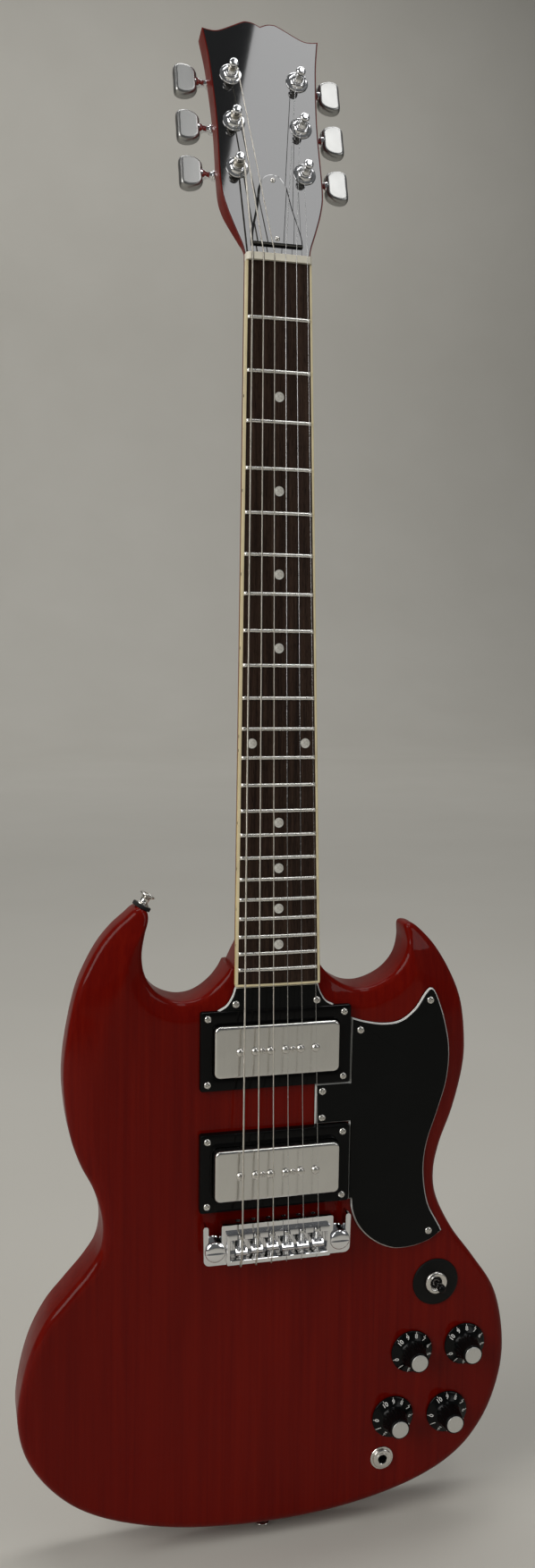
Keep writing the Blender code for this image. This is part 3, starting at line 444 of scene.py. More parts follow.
def cut_away(obj, mesh, name):
    """Removes a shape, given in the object's own space, and applies the cut."""
    tool = new_object(name, finished_mesh(name, mesh))
    tool.matrix_world = obj.matrix_world
    boolean = obj.modifiers.new(name, "BOOLEAN")
    boolean.operation = "DIFFERENCE"
    boolean.object = tool
    result = evaluated_mesh(obj)
    obj.modifiers.remove(boolean)
    old = obj.data
    obj.data = result
    bpy.data.meshes.remove(old)
    bpy.data.objects.remove(tool, do_unlink=True)


def translated(x, y, z):
    """A move in millimetres, as a matrix for an object's place in metres."""
    return Matrix.Translation((x * MM, y * MM, z * MM))


def facing(x, z, y=0.0, spin=0.0):
    """A place whose local Z looks out of the guitar's face."""
    return translated(x, y, z) @ OUTWARD @ Matrix.Rotation(spin, 4, "Z")


def box_of(node):
    """The low and high corner of a CAD node, in millimetres."""
    low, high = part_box(node)
    return low / MM, high / MM


def middle_of(node):
    low, high = box_of(node)
    return (low + high) / 2


def lathe(profile, sides=48, base=0.0, closed=False, flutes=None):
    """Turns (radius, height above the base) points about Z.

    A closed profile goes round a hole. flutes(height) gives the depth and count of grooves.
    """
    mesh = bmesh.new()
    rows = []
    for radius, height in [*profile, profile[0]] if closed else profile:
        if radius == 0:
            rows.append([mesh.verts.new((0.0, 0.0, base + height))] * sides)
            continue
        depth, count = flutes(height) if flutes else (0.0, 0)
        row = []
        for step in range(sides):
            turn = 2 * math.pi * step / sides
            reach = radius - depth * (0.5 - 0.5 * math.cos(count * turn))
            spot = (reach * math.cos(turn), reach * math.sin(turn), base + height)
            row.append(mesh.verts.new(spot))
        rows.append(row)
    for lower, upper in zip(rows, rows[1:]):
        for step in range(sides):
            after = (step + 1) % sides
            corners = [lower[step], lower[after], upper[after], upper[step]]
            kept = [vert for i, vert in enumerate(corners) if vert not in corners[:i]]
            if len(kept) > 2:
                mesh.faces.new(kept)
    return mesh


def block(low, high, mesh=None):
    mesh = mesh or bmesh.new()
    size = [b - a for a, b in zip(low, high)]
    middle = [(a + b) / 2 for a, b in zip(low, high)]
    place = Matrix.Translation(middle) @ Matrix.Diagonal((*size, 1.0))
    bmesh.ops.create_cube(mesh, size=1.0, matrix=place)
    return mesh


def add_moved(mesh, part, matrix):
    """Adds a mesh to another, moved by a matrix, and frees it."""
    bmesh.ops.transform(part, matrix=matrix, verts=part.verts)
    spare = bpy.data.meshes.new("spare")
    part.to_mesh(spare)
    part.free()
    mesh.from_mesh(spare)
    bpy.data.meshes.remove(spare)


def loft(rings, closed=False, bands=None, mesh=None):
    """Joins rings of equally many points.

    An open loft gets caps. bands are the material number of each step.
    """
    mesh = mesh or bmesh.new()
    rows = [[mesh.verts.new(point) for point in ring] for ring in rings]
    pairs = list(zip(rows, rows[1:]))
    if closed:
        pairs.append((rows[-1], rows[0]))
    for number, (lower, upper) in enumerate(pairs):
        for i in range(len(lower)):
            j = (i + 1) % len(lower)
            face = mesh.faces.new((lower[i], lower[j], upper[j], upper[i]))
            face.material_index = bands[number] if bands else 0
    if not closed:
        mesh.faces.new(rows[0][::-1])
        mesh.faces.new(rows[-1])
    return mesh


def bar(outline, ends, axis=1, mesh=None):
    """A straight bar along an axis; the outline has the two other coordinates."""
    return loft([[(*p[:axis], end, *p[axis:]) for p in outline] for end in ends], mesh=mesh)


def spline(points, steps, closed=True):
    """A smooth curve through the points, with equal steps between each two of them."""
    points = [np.array(point, float) for point in points]
    count = len(points)
    curve = []
    for i in range(count if closed else count - 1):
        if closed:
            a, b, c, d = (points[(i + k) % count] for k in (-1, 0, 1, 2))
        else:
            b, c = points[i], points[i + 1]
            a = points[i - 1] if i else 2 * b - c
            d = points[i + 2] if i + 2 < count else 2 * c - b
        for step in range(steps):
            t = step / steps
            bend = 2 * b + (c - a) * t + (2 * a - 5 * b + 4 * c - d) * t**2
            curve.append((bend + (3 * b - a - 3 * c + d) * t**3) / 2)
    if not closed:
        curve.append(points[-1])
    return [tuple(point) for point in curve]


def arc(x, z, radius, start, end, count):
    """Points round a centre, from one angle to another."""
    turns = np.linspace(start, end, count)
    return [(x + radius * math.cos(a), z + radius * math.sin(a)) for a in turns]


def disc(x, z, radius, sides=40):
    return arc(x, z, radius, 0.0, 2 * math.pi, sides + 1)[:-1]


def rounded(width, height, radius, steps=8, centre=(0.0, 0.0)):
    """A rectangle with round corners."""
    outline = []
    for corner, (sx, sz) in enumerate(((1, 1), (-1, 1), (-1, -1), (1, -1))):
        x, z = centre[0] + sx * (width / 2 - radius), centre[1] + sz * (height / 2 - radius)
        outline += arc(x, z, radius, QUARTER * corner, QUARTER * (corner + 1), steps + 1)
    return outline


def both_sides(right):
    """An outline from its right half, which is given from one end of the middle to the other."""
    return right + [(-x, z) for x, z in reversed(right)]


def inset(outline, distance):
    """The outline moved inwards by a distance, with mitred corners."""
    outline = np.array(outline, float)
    ahead, behind = np.roll(outline, -1, axis=0), np.roll(outline, 1, axis=0)
    area = np.sum(outline[:, 0] * ahead[:, 1] - ahead[:, 0] * outline[:, 1])
    first = (outline - behind) / np.linalg.norm(outline - behind, axis=1)[:, None]
    second = (ahead - outline) / np.linalg.norm(ahead - outline, axis=1)[:, None]
    middle = first + second
    middle /= np.linalg.norm(middle, axis=1)[:, None]
    normal = np.column_stack((-middle[:, 1], middle[:, 0])) * math.copysign(1.0, area)
    stretch = 1.0 / np.clip(np.sum(middle * first, axis=1), 0.5, 1.0)
    return [tuple(point) for point in outline + normal * (distance * stretch)[:, None]]


def plate_rings(outline, steps, base=0.0):
    """Rings of a plate in X and Z, as (inset, y from the base) steps."""
    return [[(x, base + y, z) for x, z in inset(outline, distance)] for distance, y in steps]


def plate(outline, steps, base=0.0, bands=None):
    return loft(plate_rings(outline, steps, base), bands=bands)


def height_field(rim, distances, spacing, limits, front, back):
    """A solid between two surfaces over a closed outline, in X and Z.

    front and back give y at (x, z, distances to all points of the rim). The mesh has rows of
    points at distances from the rim, and a grid of them inside the last row.
    """
    rim = np.array(rim)
    ahead = np.roll(rim, -1, axis=0)
    along = ahead - np.roll(rim, 1, axis=0)
    along /= np.linalg.norm(along, axis=1)[:, None]
    inward = np.column_stack((-along[:, 1], along[:, 0]))
    if np.sum(rim[:, 0] * ahead[:, 1] - ahead[:, 0] * rim[:, 1]) < 0:
        inward = -inward
    points = list(rim)
    for distance in distances:
        for point in rim + inward * distance:
            if np.hypot(*(rim - point).T).min() > 0.93 * distance:
                points.append(point)
    (x0, x1), (z0, z1), (dx, dz) = limits[0], limits[1], spacing
    for row, z in enumerate(np.arange(z0, z1, dz)):
        for x in np.arange(x0 + (row % 2) * dx / 2, x1, dx):
            if np.hypot(*(rim - (x, z)).T).min() > distances[-1]:
                points.append(np.array((x, z)))
    edges = [(i, (i + 1) % len(rim)) for i in range(len(rim))]
    verts, _, faces, *_ = delaunay_2d_cdt([Vector(point) for point in points], edges, [], 1, 1e-4)
    mesh = bmesh.new()
    near, far = [], []
    for x, z in verts:
        away = np.hypot(*(rim - (x, z)).T)
        near.append(mesh.verts.new((x, front(x, z, away), z)))
        far.append(mesh.verts.new((x, back(x, z, away), z)))
    sides = {}
    for corners in faces:
        mesh.faces.new([near[i] for i in corners])
        mesh.faces.new([far[i] for i in reversed(corners)])
        for a, b in zip(corners, corners[1:] + corners[:1]):
            key = (min(a, b), max(a, b))
            sides[key] = None if key in sides else (a, b)
    for a, b in filter(None, sides.values()):
        mesh.faces.new((near[a], near[b], far[b], far[a]))
    return mesh


def smooth_step(value, start, end):
    t = min(max((value - start) / (end - start), 0.0), 1.0)
    return t * t * (3 - 2 * t)


SCREW_MESHES = {}


def screw(name, place, radius, body="guitar", height=0.9, cross=True):
    """A domed screw head with a cross or one slot cut in it; equal screws share their mesh."""
    key = (radius, height, cross)
    if key in SCREW_MESHES:
        obj = new_object(name, SCREW_MESHES[key])
        obj.matrix_world = place
        bpy.context.view_layer.update()
        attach(obj, body)
        return
    dome = ((0.96, 0.3), (0.82, 0.66), (0.55, 0.9), (0.25, 0.99), (0, 1))
    profile = [(0, -1.2), (radius, -1.2), (radius, 0.12)]
    profile += [(radius * out, height * up) for out, up in dome]
    obj = piece(name, lathe(profile, 32), NICKEL, body, place)
    long, wide = (0.62 * radius, 0.12 * radius) if cross else (1.3 * radius, 0.14 * radius)
    for number, (x, y) in enumerate([(long, wide), (wide, long)] if cross else [(long, wide)]):
        groove = block((-x, -y, 0.25 * height), (x, y, height + 1))
        cut_away(obj, groove, f"{name}_groove_{number}")
    shade(obj.data)
    SCREW_MESHES[key] = obj.data


def tube(path, radius, sides, reference):
    """A round wire along a path; reference is a direction never along it."""
    path = [Vector(point) for point in path]
    reference = Vector(reference)
    rings = []
    for number, point in enumerate(path):
        along = path[min(number + 1, len(path) - 1)] - path[max(number - 1, 0)]
        along.normalize()
        first = (reference - along * reference.dot(along)).normalized()
        second = along.cross(first)
        rings.append([tuple(point + first * a + second * b) for a, b in disc(0, 0, radius, sides)])
    return loft(rings)


# ---------------------------------------------------------------- body and neck

OUTWARD = Matrix.Rotation(QUARTER, 4, "X")
NUT_Y = FACE - BOARD_RISE + BOARD_LENGTH * math.sin(NECK_ANGLE)
NECK = translated(0.0, NUT_Y, NUT_HEIGHT) @ Matrix.Rotation(-NECK_ANGLE, 4, "X")
HEAD = NECK @ translated(0.0, 4.5, NUT_LENGTH) @ Matrix.Rotation(-HEAD_ANGLE, 4, "X")
FACE_LIFT = 3.8
BODY_RINGS = (0.12, 0.35, 0.7, 1.15, 1.7, 2.3, 2.9, 3.5, 4.4, 5.6, 7.2, 9.2, 11.4, 13.8, 16.4, 19.2,
              22.2, 25.4, 29.0)
NECK_RINGS = (0.08, 0.25, 0.5, 0.9, 1.4, 2.0, 2.8, 3.8, 5.0, 6.6, 8.6, 11.0, 14.0, 17.5)
BODY_STEPS = 7
CUT_START = FACE - 5.0
CAVITY_DEPTH = 2.6


def board_width(distance):
    return NUT_WIDTH + WIDTH_PER_MM * distance


def camber(x):
    return BOARD_RADIUS - math.sqrt(BOARD_RADIUS**2 - x**2)


def fret_distance(number):
    return SCALE_LENGTH * (1 - 2 ** (-number / 12))


def make_body():
    """A slab with round edges, and bevels that widen towards the horns, with its openings cut."""
    rim = np.array(spline(BODY_OUTLINE, BODY_STEPS, closed=False))
    horn = np.clip(rim[:, 1] / 150.0, 0.0, 1.0)
    bevel_width = 6.0 + 19.0 * horn
    bevel_depth = 2.0 + 5.5 * horn
    number = np.arange(len(rim))
    cutaway = (number < BASS_HORN_TIP * BODY_STEPS) | (number > TREBLE_HORN_TIP * BODY_STEPS)
    bevel_width[cutaway] = 13.0
    bevel_depth[cutaway] = 3.5
    at_neck = np.clip((BODY_EDGE_AT_NECK - rim[:, 1]) / 15.0, 0.0, 1.0)
    near_neck = np.abs(rim[:, 0]) < 45.0
    bevel_depth[near_neck] *= at_neck[near_neck]

    def drop(away):
        bevel = np.max(bevel_depth * np.clip(1.0 - away / bevel_width, 0.0, 1.0) ** 1.3)
        reach = max(EDGE_RADIUS - away.min(), 0.0)
        return bevel + EDGE_RADIUS - math.sqrt(EDGE_RADIUS**2 - reach**2)

    mesh = height_field(rim, BODY_RINGS, (6.5, 6.5), ((-175, 175), (-220, 220)),
                        lambda x, z, away: FACE + drop(away), lambda x, z, away: -drop(away))
    body = piece("body_shell", mesh, CHERRY, stands_for="body")
    holes = bmesh.new()
    for name in ("neck", "bridge"):
        middle = middle_of(f"{name}_pickup_cover")
        outline = rounded(89, 39, 5, 6, (middle.x, middle.z))
        bar(outline, (CUT_START, -10.5), mesh=holes)
    for node, radius, floor in (("bass_bridge_stud", 4.2, -12), ("treble_bridge_stud", 4.2, -12),
                                ("output_jack", 6.5, -20), ("switch_lever", 6.3, -20)):
        middle = middle_of(node)
        bar(disc(middle.x, middle.z, radius), (CUT_START, floor), mesh=holes)
    bar(inset(spline(CONTROL_CAVITY, 6), -6.3), (-CAVITY_DEPTH, 5), mesh=holes)
    for name, turn in STRAP_TURNS.items():
        seat = Matrix.Translation(STRAP_PLACES[name]) @ Matrix.Rotation(turn, 4, "Y")
        add_moved(holes, block((-15, -25, 0), (15, 25, 12)), seat)
    block((-45, -60, SHOULDER), (45, 10, SHOULDER + 14.2), holes)
    cut_away(body, holes, "body_openings")
    shade(body.data, 40.0)


def bend_neck(x, y, s):
    """Places a point of the neck: straight below the nut, then tilted back with the headstock."""
    share = smooth_step(s, 1.0, 16.0) if y > 5.8 else float(s > NUT_LENGTH)
    low = NECK @ Vector((x * MM, y * MM, s * MM))
    high = HEAD @ Vector((x * MM, (y - FACE_LIFT) * MM, (s - NUT_LENGTH) * MM))
    return low.lerp(high, share) / MM


def head_outline(start=0.0, steps=6):
    right = spline(HEAD_SIDE, steps, closed=False)[:-1]
    right += spline(HEAD_CREST, steps, closed=False)[:-1]
    right[0] = (right[0][0], right[0][1] + start)
    return right + [HEAD_CREST[-1]] + [(-x, z) for x, z in reversed(right)]


def make_neck():
    """Neck and headstock as one carved piece, its tongue in the body, and the black face."""
    head = [(x, z + NUT_LENGTH) for x, z in head_outline()]
    edge = [(board_width(d) / 2, -d) for d in np.arange(NECK_SHAFT, 0.5, -4.0)]
    end = [(x, -NECK_SHAFT) for x in np.arange(-24.0, 25.0, 4.0)]
    rim = edge + head + [(-x, z) for x, z in reversed(edge)] + end
    side_x, side_z = zip(*HEAD_SIDE)
    corner, edge_y = 1.6, 6.5

    def half(s):
        if s <= 0.0:
            return board_width(-s) / 2
        return float(np.interp(s - NUT_LENGTH, side_z, side_x))

    def front(x, s, away):
        return 0.35 + FACE_LIFT if s > NUT_LENGTH else NECK_TOP

    def back(x, s, away):
        """From the round section of the neck to the flat one of the headstock."""
        depth = np.interp(s, (-448, -30, 0, 14, 30), (19.5, 16.2, 16.4, 17.5, 17.8)) - edge_y
        carved = (1.0 - min(abs(x) / half(s), 1.0) ** 2.1) ** (1 / 2.1)
        reach = max(corner - away.min(), 0.0)
        flat = 1.0 - (corner - math.sqrt(corner**2 - reach**2)) / depth
        share = smooth_step(s, 4.0, 46.0)
        return edge_y + depth * (carved * (1.0 - share) + flat * share)

    mesh = height_field(rim, NECK_RINGS, (5, 7), ((-42, 42), (-450, 184)), front, back)
    for vert in mesh.verts:
        vert.co = bend_neck(*vert.co)
    piece("neck_and_headstock", mesh, NECK_WOOD, stands_for="neck", sharp=50.0)

    wide = board_width(BOARD_LENGTH) / 2 - 0.4
    tongue = block((-wide, NECK_TOP, -BOARD_LENGTH + 0.6), (wide, 8.4, -444))
    piece("neck_tongue", tongue, NECK_WOOD, place=NECK, bevel=0.5)

    face = plate(head_outline(-0.9, 3), [(0.75, VENEER), (0.75, 0.3), (0.83, 0.12), (1, 0)])
    piece("headstock_face", face, BLACK_LACQUER, "guitar", HEAD, "headstock_veneer")


def make_heel():
    """The neck's heel, which slopes from the neck's back down to the body's.

    Its stations are height, half width, back and corner radius.
    """
    stations = ((174.5, 28.3, -2.8, 3.5), (176.5, 28.2, -3.6, 4), (180, 27.7, -5.6, 5),
                (185, 26.8, -8.6, 6.5), (190, 26, -11.8, 8.5), (195, 25.2, -14.8, 11),
                (200, 24.2, -17.6, 14))
    front = FACE + 0.5
    rings = []
    for z, half, back, corner in stations:
        side = arc(half - corner, back - corner, corner, 0.0, QUARTER, 9)
        rings.append([(x, y, z) for x, y in both_sides([(half, front)] + side)])
    piece("neck_heel", loft(rings), NECK_WOOD, sharp=50.0)


def board_section(distance, half):
    cells = 28
    xs = [half * (2 * step / cells - 1) for step in range(cells + 1)]
    ring = [(-half, BOARD_THICKNESS), *[(x, camber(x)) for x in xs], (half, BOARD_THICKNESS)]
    return [(x, y, -distance) for x, y in ring]


def make_fretboard():
    end = BOARD_LENGTH - BINDING
    board = loft([board_section(d, board_width(d) / 2 - BINDING) for d in (end, BOARD_START)])
    piece("rosewood_board", board, ROSEWOOD, "guitar", NECK, "fretboard")

    strips = bmesh.new()
    for side in (-1, 1):
        rings = []
        for distance in (BOARD_START, end):
            outer = board_width(distance) / 2
            inner = outer - BINDING
            ring = [
                (outer, camber(outer)), (inner, camber(inner)), (inner, BOARD_THICKNESS),
                (outer, BOARD_THICKNESS),
            ]
            rings.append([(side * x, y, -distance) for x, y in ring])
        loft(rings, mesh=strips)
    loft([board_section(d, board_width(d) / 2) for d in (end, BOARD_LENGTH)], mesh=strips)
    piece("cream_binding", strips, CREAM, "guitar", NECK, "fretboard_binding", bevel=0.35)
    make_frets()
    make_dots()


def make_frets():
    """Each wire is a row of crown sections that sink at its two ends."""
    side = [(-1.2, 0), (-1.12, 0.42), (-0.82, 0.8), (-0.4, 1.02)]
    crown = side + [(0, 1.1)] + [(-z, height) for z, height in reversed(side)]
    sunk = 0.4
    wires = bmesh.new()
    for number in range(1, FRETS + 1):
        distance = fret_distance(number)
        half = board_width(distance) / 2 - BINDING + 0.1
        ends = [(-half, 0), (-half + 0.3, 0.5), (-half + 0.9, 0.93)]
        stations = ends + [(half * (step / 8 - 1), 1) for step in range(1, 16)]
        rings = []
        for x, tall in stations + [(-x, tall) for x, tall in reversed(ends)]:
            section = [(crown[-1][0], -sunk), (crown[0][0], -sunk)]
            section += [(z, height * tall) for z, height in crown]
            rings.append([(x, camber(x) - height, z - distance) for z, height in section])
        loft(rings, mesh=wires)
    piece("fret_wires", wires, FRET_METAL, place=NECK)


def make_dots():
    """Pearl dots between the frets, and small black ones on the board's bass side."""
    for number, x in [(number, 0.0) for number in DOT_FRETS] + [(12, -17.8), (12, 17.8)]:
        distance = (fret_distance(number - 1) + fret_distance(number)) / 2
        lean = Matrix.Rotation(math.asin(x / BOARD_RADIUS), 4, "Z")
        place = NECK @ translated(x, camber(x), -distance) @ lean @ OUTWARD
        dot = lathe([(0, -0.8), (3.15, -0.8), (3.15, 0.03), (3, 0.05), (0, 0.06)])
        piece(f"dot_{number}_{'bass' if x < 0 else 'treble'}", dot, PEARL, place=place)
    sideways = Matrix.Rotation(-QUARTER, 4, "Y")
    for number, shift in [(number, 0.0) for number in DOT_FRETS] + [(12, -4.5), (12, 4.5)]:
        distance = (fret_distance(number - 1) + fret_distance(number)) / 2 + shift
        place = NECK @ translated(-board_width(distance) / 2, 2.6, -distance) @ sideways
        mark = lathe([(0, -0.4), (1, -0.4), (1, 0.02), (0, 0.03)], 24)
        label = "high" if shift < 0 else "low"
        piece(f"side_dot_{number}_{label}", mark, BLACK_SATIN, place=place)


def string_place(index, distance):
    """x and y of a string, in the neck's frame, at a distance from the nut."""
    share = distance / SCALE_LENGTH
    x = (index / 5 - 0.5) * (NUT_SPREAD + (BRIDGE_SPREAD - NUT_SPREAD) * share)
    bridge_y = FACE - SADDLE_STRING_HEIGHT
    end = (bridge_y - NUT_Y) * math.cos(NECK_ANGLE) - NUT_HEIGHT * math.sin(NECK_ANGLE)
    return x, -NUT_STRING_HEIGHT + (end + NUT_STRING_HEIGHT) * share


def make_nut():
    half = NUT_WIDTH / 2
    left = [(-half, 0.3), (-half + 1.2, -0.9), (-18.6, -1.7), (-9, -1.95)]
    top = spline(left + [(0, -2)] + [(-x, y) for x, y in reversed(left)], 4, closed=False)
    outline = [(-half, 5), (-half, 0.6), *top, (half, 0.6), (half, 5)]
    nut = piece("bone_nut", bar(outline, (0.06, NUT_LENGTH), axis=2), BONE, "guitar", NECK, "nut",
                sharp=30.0)
    slots = bmesh.new()
    for index, diameter in enumerate(STRING_DIAMETERS):
        x, y = string_place(index, 0.0)
        wide = diameter / 2 + 0.12
        high = (x + wide, y + diameter * 0.4, NUT_LENGTH + 2)
        block((x - wide, -6, -2), high, slots)
    cut_away(nut, slots, "nut_slots")
    soften(nut, 0.3)


# ---------------------------------------------------------------- headstock hardware


def make_truss_cover():
    half = [(17, 7.5), (16.6, 14), (14.5, 24), (12, 34), (10.3, 44), (9, 51), (5.5, 57)]
    right = spline(half, 6, closed=False)
    outline = right + [(3, 58.5), (0, 59), (-3, 58.5)] + [(-x, z) for x, z in reversed(right)]
    steps = [(0, -0.3), (0, -1.3), (0.2, -1.75), (0.6, -2.1), (1.1, -2.3)]
    piece("bell_cover", plate(outline, steps), BLACK_LACQUER, "guitar", HEAD, "truss_rod_cover",
          sharp=30.0)
    for name, z in (("top", 54.0), ("foot", 11.5)):
        screw(f"bell_cover_screw_{name}", HEAD @ translated(0.0, -2.25, z) @ OUTWARD, 1.7)


def tuner_places():
    """Number, side and height of each tuner, in string order from bass to treble."""
    bass = [(number, -1.0, height) for number, height in zip((1, 2, 3), TUNER_ROWS)]
    treble = [(number, 1.0, height) for number, height in zip((6, 5, 4), TUNER_ROWS)]
    return sorted(bass + treble)


def make_tuner(number, side, height):
    x = side * TUNER_X
    up = HEAD @ translated(x, 0.0, height) @ OUTWARD
    bushing = [
        (0, -0.8), (7.5, -0.8), (7.5, 0.45), (7.25, 0.85), (6.7, 1.05), (5.9, 1.1), (5.6, 1.2),
        (5.35, 1.9), (4.9, 2.6), (4.2, 3), (3.6, 3.05), (3.4, 2.6), (0, 2.4),
    ]
    piece(f"bushing_{number}", lathe(bushing, 64), CHROME, "guitar", up)

    post = [
        (0, -19), (3.6, -19), (3.6, 3), (3.45, 4.2), (2.9, 5), (2.4, 5.6), (2.3, 7.2), (2.35, 8.6),
        (2.6, 9.1), (3, 9.5), (3.15, 10.1), (3.1, 10.9), (2.75, 11.6), (2.1, 11.92), (1.2, 12),
        (0, 12),
    ]
    turned = piece(f"string_post_{number}", lathe(post, 48), CHROME, f"post_{number}", up,
                   f"tuner_post_{number}")
    cut_away(turned, bar(disc(0, 7.4, 0.6, 12), (-5, 5), axis=0), "post_hole")
    shade(turned.data)

    wire = STRING_DIAMETERS[number - 1] / 2
    turns = 3 if number < 4 else 5
    reach = POST_NECK_RADIUS + wire
    coil = []
    for step in range(turns * 24 + 1):
        turn = side * 2 * math.pi * step / 24
        height_here = POST_STRING_HEIGHT - 2.04 * wire * step / 24
        coil.append((-side * reach * math.cos(turn), -side * reach * math.sin(turn), height_here))
    material = WOUND if number < 4 else STEEL
    piece(f"winding_{number}", tube(coil, wire, 8, (0, 0, 1)), material, f"post_{number}", up)

    top = HEAD_THICKNESS
    outline = rounded(18.0, 21.0, 5.5, 8, (x, height + CASE_OFFSET))
    steps = [
        (0, top - 0.2), (0, top + 7), (0.35, top + 8.4), (1.3, top + 9.5), (2.8, top + 10.1),
        (4.6, top + 10.3),
    ]
    piece(f"gear_case_{number}", plate(outline, steps), CHROME, "guitar", HEAD,
          f"tuner_housing_{number}")
    inward = HEAD @ translated(x, top + 10.2, height + CASE_OFFSET)
    inward @= Matrix.Rotation(-QUARTER, 4, "X")
    screw(f"gear_case_screw_{number}", inward, 1.9, cross=False)

    worm = HEAD @ translated(x, WORM_BEHIND_FACE, height + WORM_OFFSET)
    worm @= Matrix.Rotation(side * QUARTER, 4, "Y")
    sleeve = [(2.2, 6), (4, 6), (4, 9), (3.7, 9.6), (2.2, 9.6)]
    piece(f"shaft_sleeve_{number}", lathe(sleeve, 40, closed=True), CHROME, "guitar", worm)
    shaft = [
        (0, 7), (2, 7), (2, 9.9), (3.3, 10.1), (3.5, 10.6), (3.5, 12), (3.2, 12.6), (2.6, 12.8),
        (2.3, 13.4), (2.3, 16.6), (2.7, 17.3), (3.3, 18.2), (3.7, 19.6), (3.7, 22), (0, 22),
    ]
    piece(f"button_stem_{number}", lathe(shaft, 40), CHROME, f"button_{number}", worm)
    half_l, half_w, half_t = BUTTON_LENGTH / 2, BUTTON_WIDTH / 2, BUTTON_THICKNESS / 2
    low = BUTTON_CENTRE - half_w
    high = low + BUTTON_WIDTH
    flank = [
        (half_l * 0.5, low), (half_l * 0.76, low + 1.7), (half_l * 0.93, low + 5.0),
        (half_l, low + 9.0), (half_l * 0.98, high - 4.0), (half_l * 0.88, high - 1.3),
        (half_l * 0.66, high),
    ]
    silhouette = spline([(0, low), *flank, (0, high), *[(-x, z) for x, z in reversed(flank)]], 5)
    layers = [(2.6, 1), (1.7, 0.985), (0.95, 0.86), (0.4, 0.62), (0.1, 0.34), (0, 0.1)]
    layers = [(move, -share) for move, share in layers] + layers[::-1]
    rings = [[(a, half_t * share, b) for a, b in inset(silhouette, move)] for move, share in layers]
    piece(f"kidney_button_{number}", loft(rings), BUTTON_METAL, f"button_{number}", worm,
          f"tuner_button_{number}", sharp=50.0)


# ---------------------------------------------------------------- strings


def make_strings():
    """Each string runs from its post over nut and saddle, round the bridge and into its hole."""
    for number, side, height in tuner_places():
        index = number - 1
        radius = STRING_DIAMETERS[index] / 2
        saddle = middle_of(f"saddle_{number}")
        post_x = side * (TUNER_X - POST_NECK_RADIUS - radius)
        at_post = HEAD @ Vector((post_x * MM, -POST_STRING_HEIGHT * MM, height * MM))
        x, y = string_place(index, 0.0)
        after_nut = NECK @ Vector((x * MM, (y - 0.05) * MM, NUT_LENGTH * MM))
        at_nut = NECK @ Vector((x * MM, (y - 0.1) * MM, 0.6 * MM))
        path = [at_post / MM, after_nut / MM, at_nut / MM]
        ridge = FACE - SADDLE_STRING_HEIGHT
        off = radius + 0.32
        rear = BRIDGE_BOTTOM_Z - off
        look, slot = (WOUND, "nickel") if number < 4 else (STEEL, "steel")
        across = (1.0, 0.0, 0.0)
        peak = Vector((saddle.x, ridge, saddle.z + 0.5))
        slant = (path[-1] - peak).normalized()
        split = peak + 14.0 * slant
        wire = piece(f"wire_{number}", tube([*path, split], radius, 12, across), look, None,
                     stands_for=f"string_{number}", slot=slot)
        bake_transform(wire)
        path = [split + 0.5 * slant, peak, Vector((saddle.x, ridge + 0.05, saddle.z - 0.6))]
        crossing = piece(f"crossing_wire_{number}", tube(path, 0.98 * radius, 12, across), look,
                         None, slot=slot)
        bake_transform(crossing)

        crown = (BRIDGE_CROWN - off - 0.1, -15.4)
        rest = [(ridge + 0.03, saddle.z - 0.1), (ridge + 0.05, saddle.z - 0.6), crown]
        bend = [(BRIDGE_CROWN + 1.4 - (off + 1.4) * math.cos(a),
                 BRIDGE_BOTTOM_Z + 1.4 - (off + 1.4) * math.sin(a))
                for a in np.linspace(0.15, QUARTER, 7)]
        tuck = [
            (STRING_HOLE_Y - 2.0, rear), (STRING_HOLE_Y - 0.9, rear + 0.15),
            (STRING_HOLE_Y - 0.25, rear + 0.8), (STRING_HOLE_Y, BRIDGE_BOTTOM_Z + 0.9),
            (STRING_HOLE_Y, BRIDGE_TOP_Z - 2.0),
        ]
        path = [Vector((saddle.x, y, z)) for y, z in rest + bend + tuck]
        tail = piece(f"tail_wire_{number}", tube(path, 0.96 * radius, 12, across), look, None,
                     slot=slot)
        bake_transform(tail)


# ---------------------------------------------------------------- guards and pickups

GUARD_BACK = FACE - 0.05
RING_GAP = 0.4
POLE_STEP = 10.2
PLY_STEPS = [
    (0, 0), (0, -0.6), (0.12, -0.8), (0.5, -1.3), (0.62, -1.45), (0.95, -1.9), (1.1, -2.2),
    (1.3, -2.4),
]
PLY_BANDS = (0, 0, 1, 0, 1, 0, 0)


def ply_plate(name, outline, node):
    """A black and white laminate whose bevelled edge shows its layers."""
    mesh = plate(outline, PLY_STEPS, GUARD_BACK, PLY_BANDS)
    piece(name, mesh, (BLACK_PLASTIC, WHITE_PLY), stands_for=node, sharp=30.0)


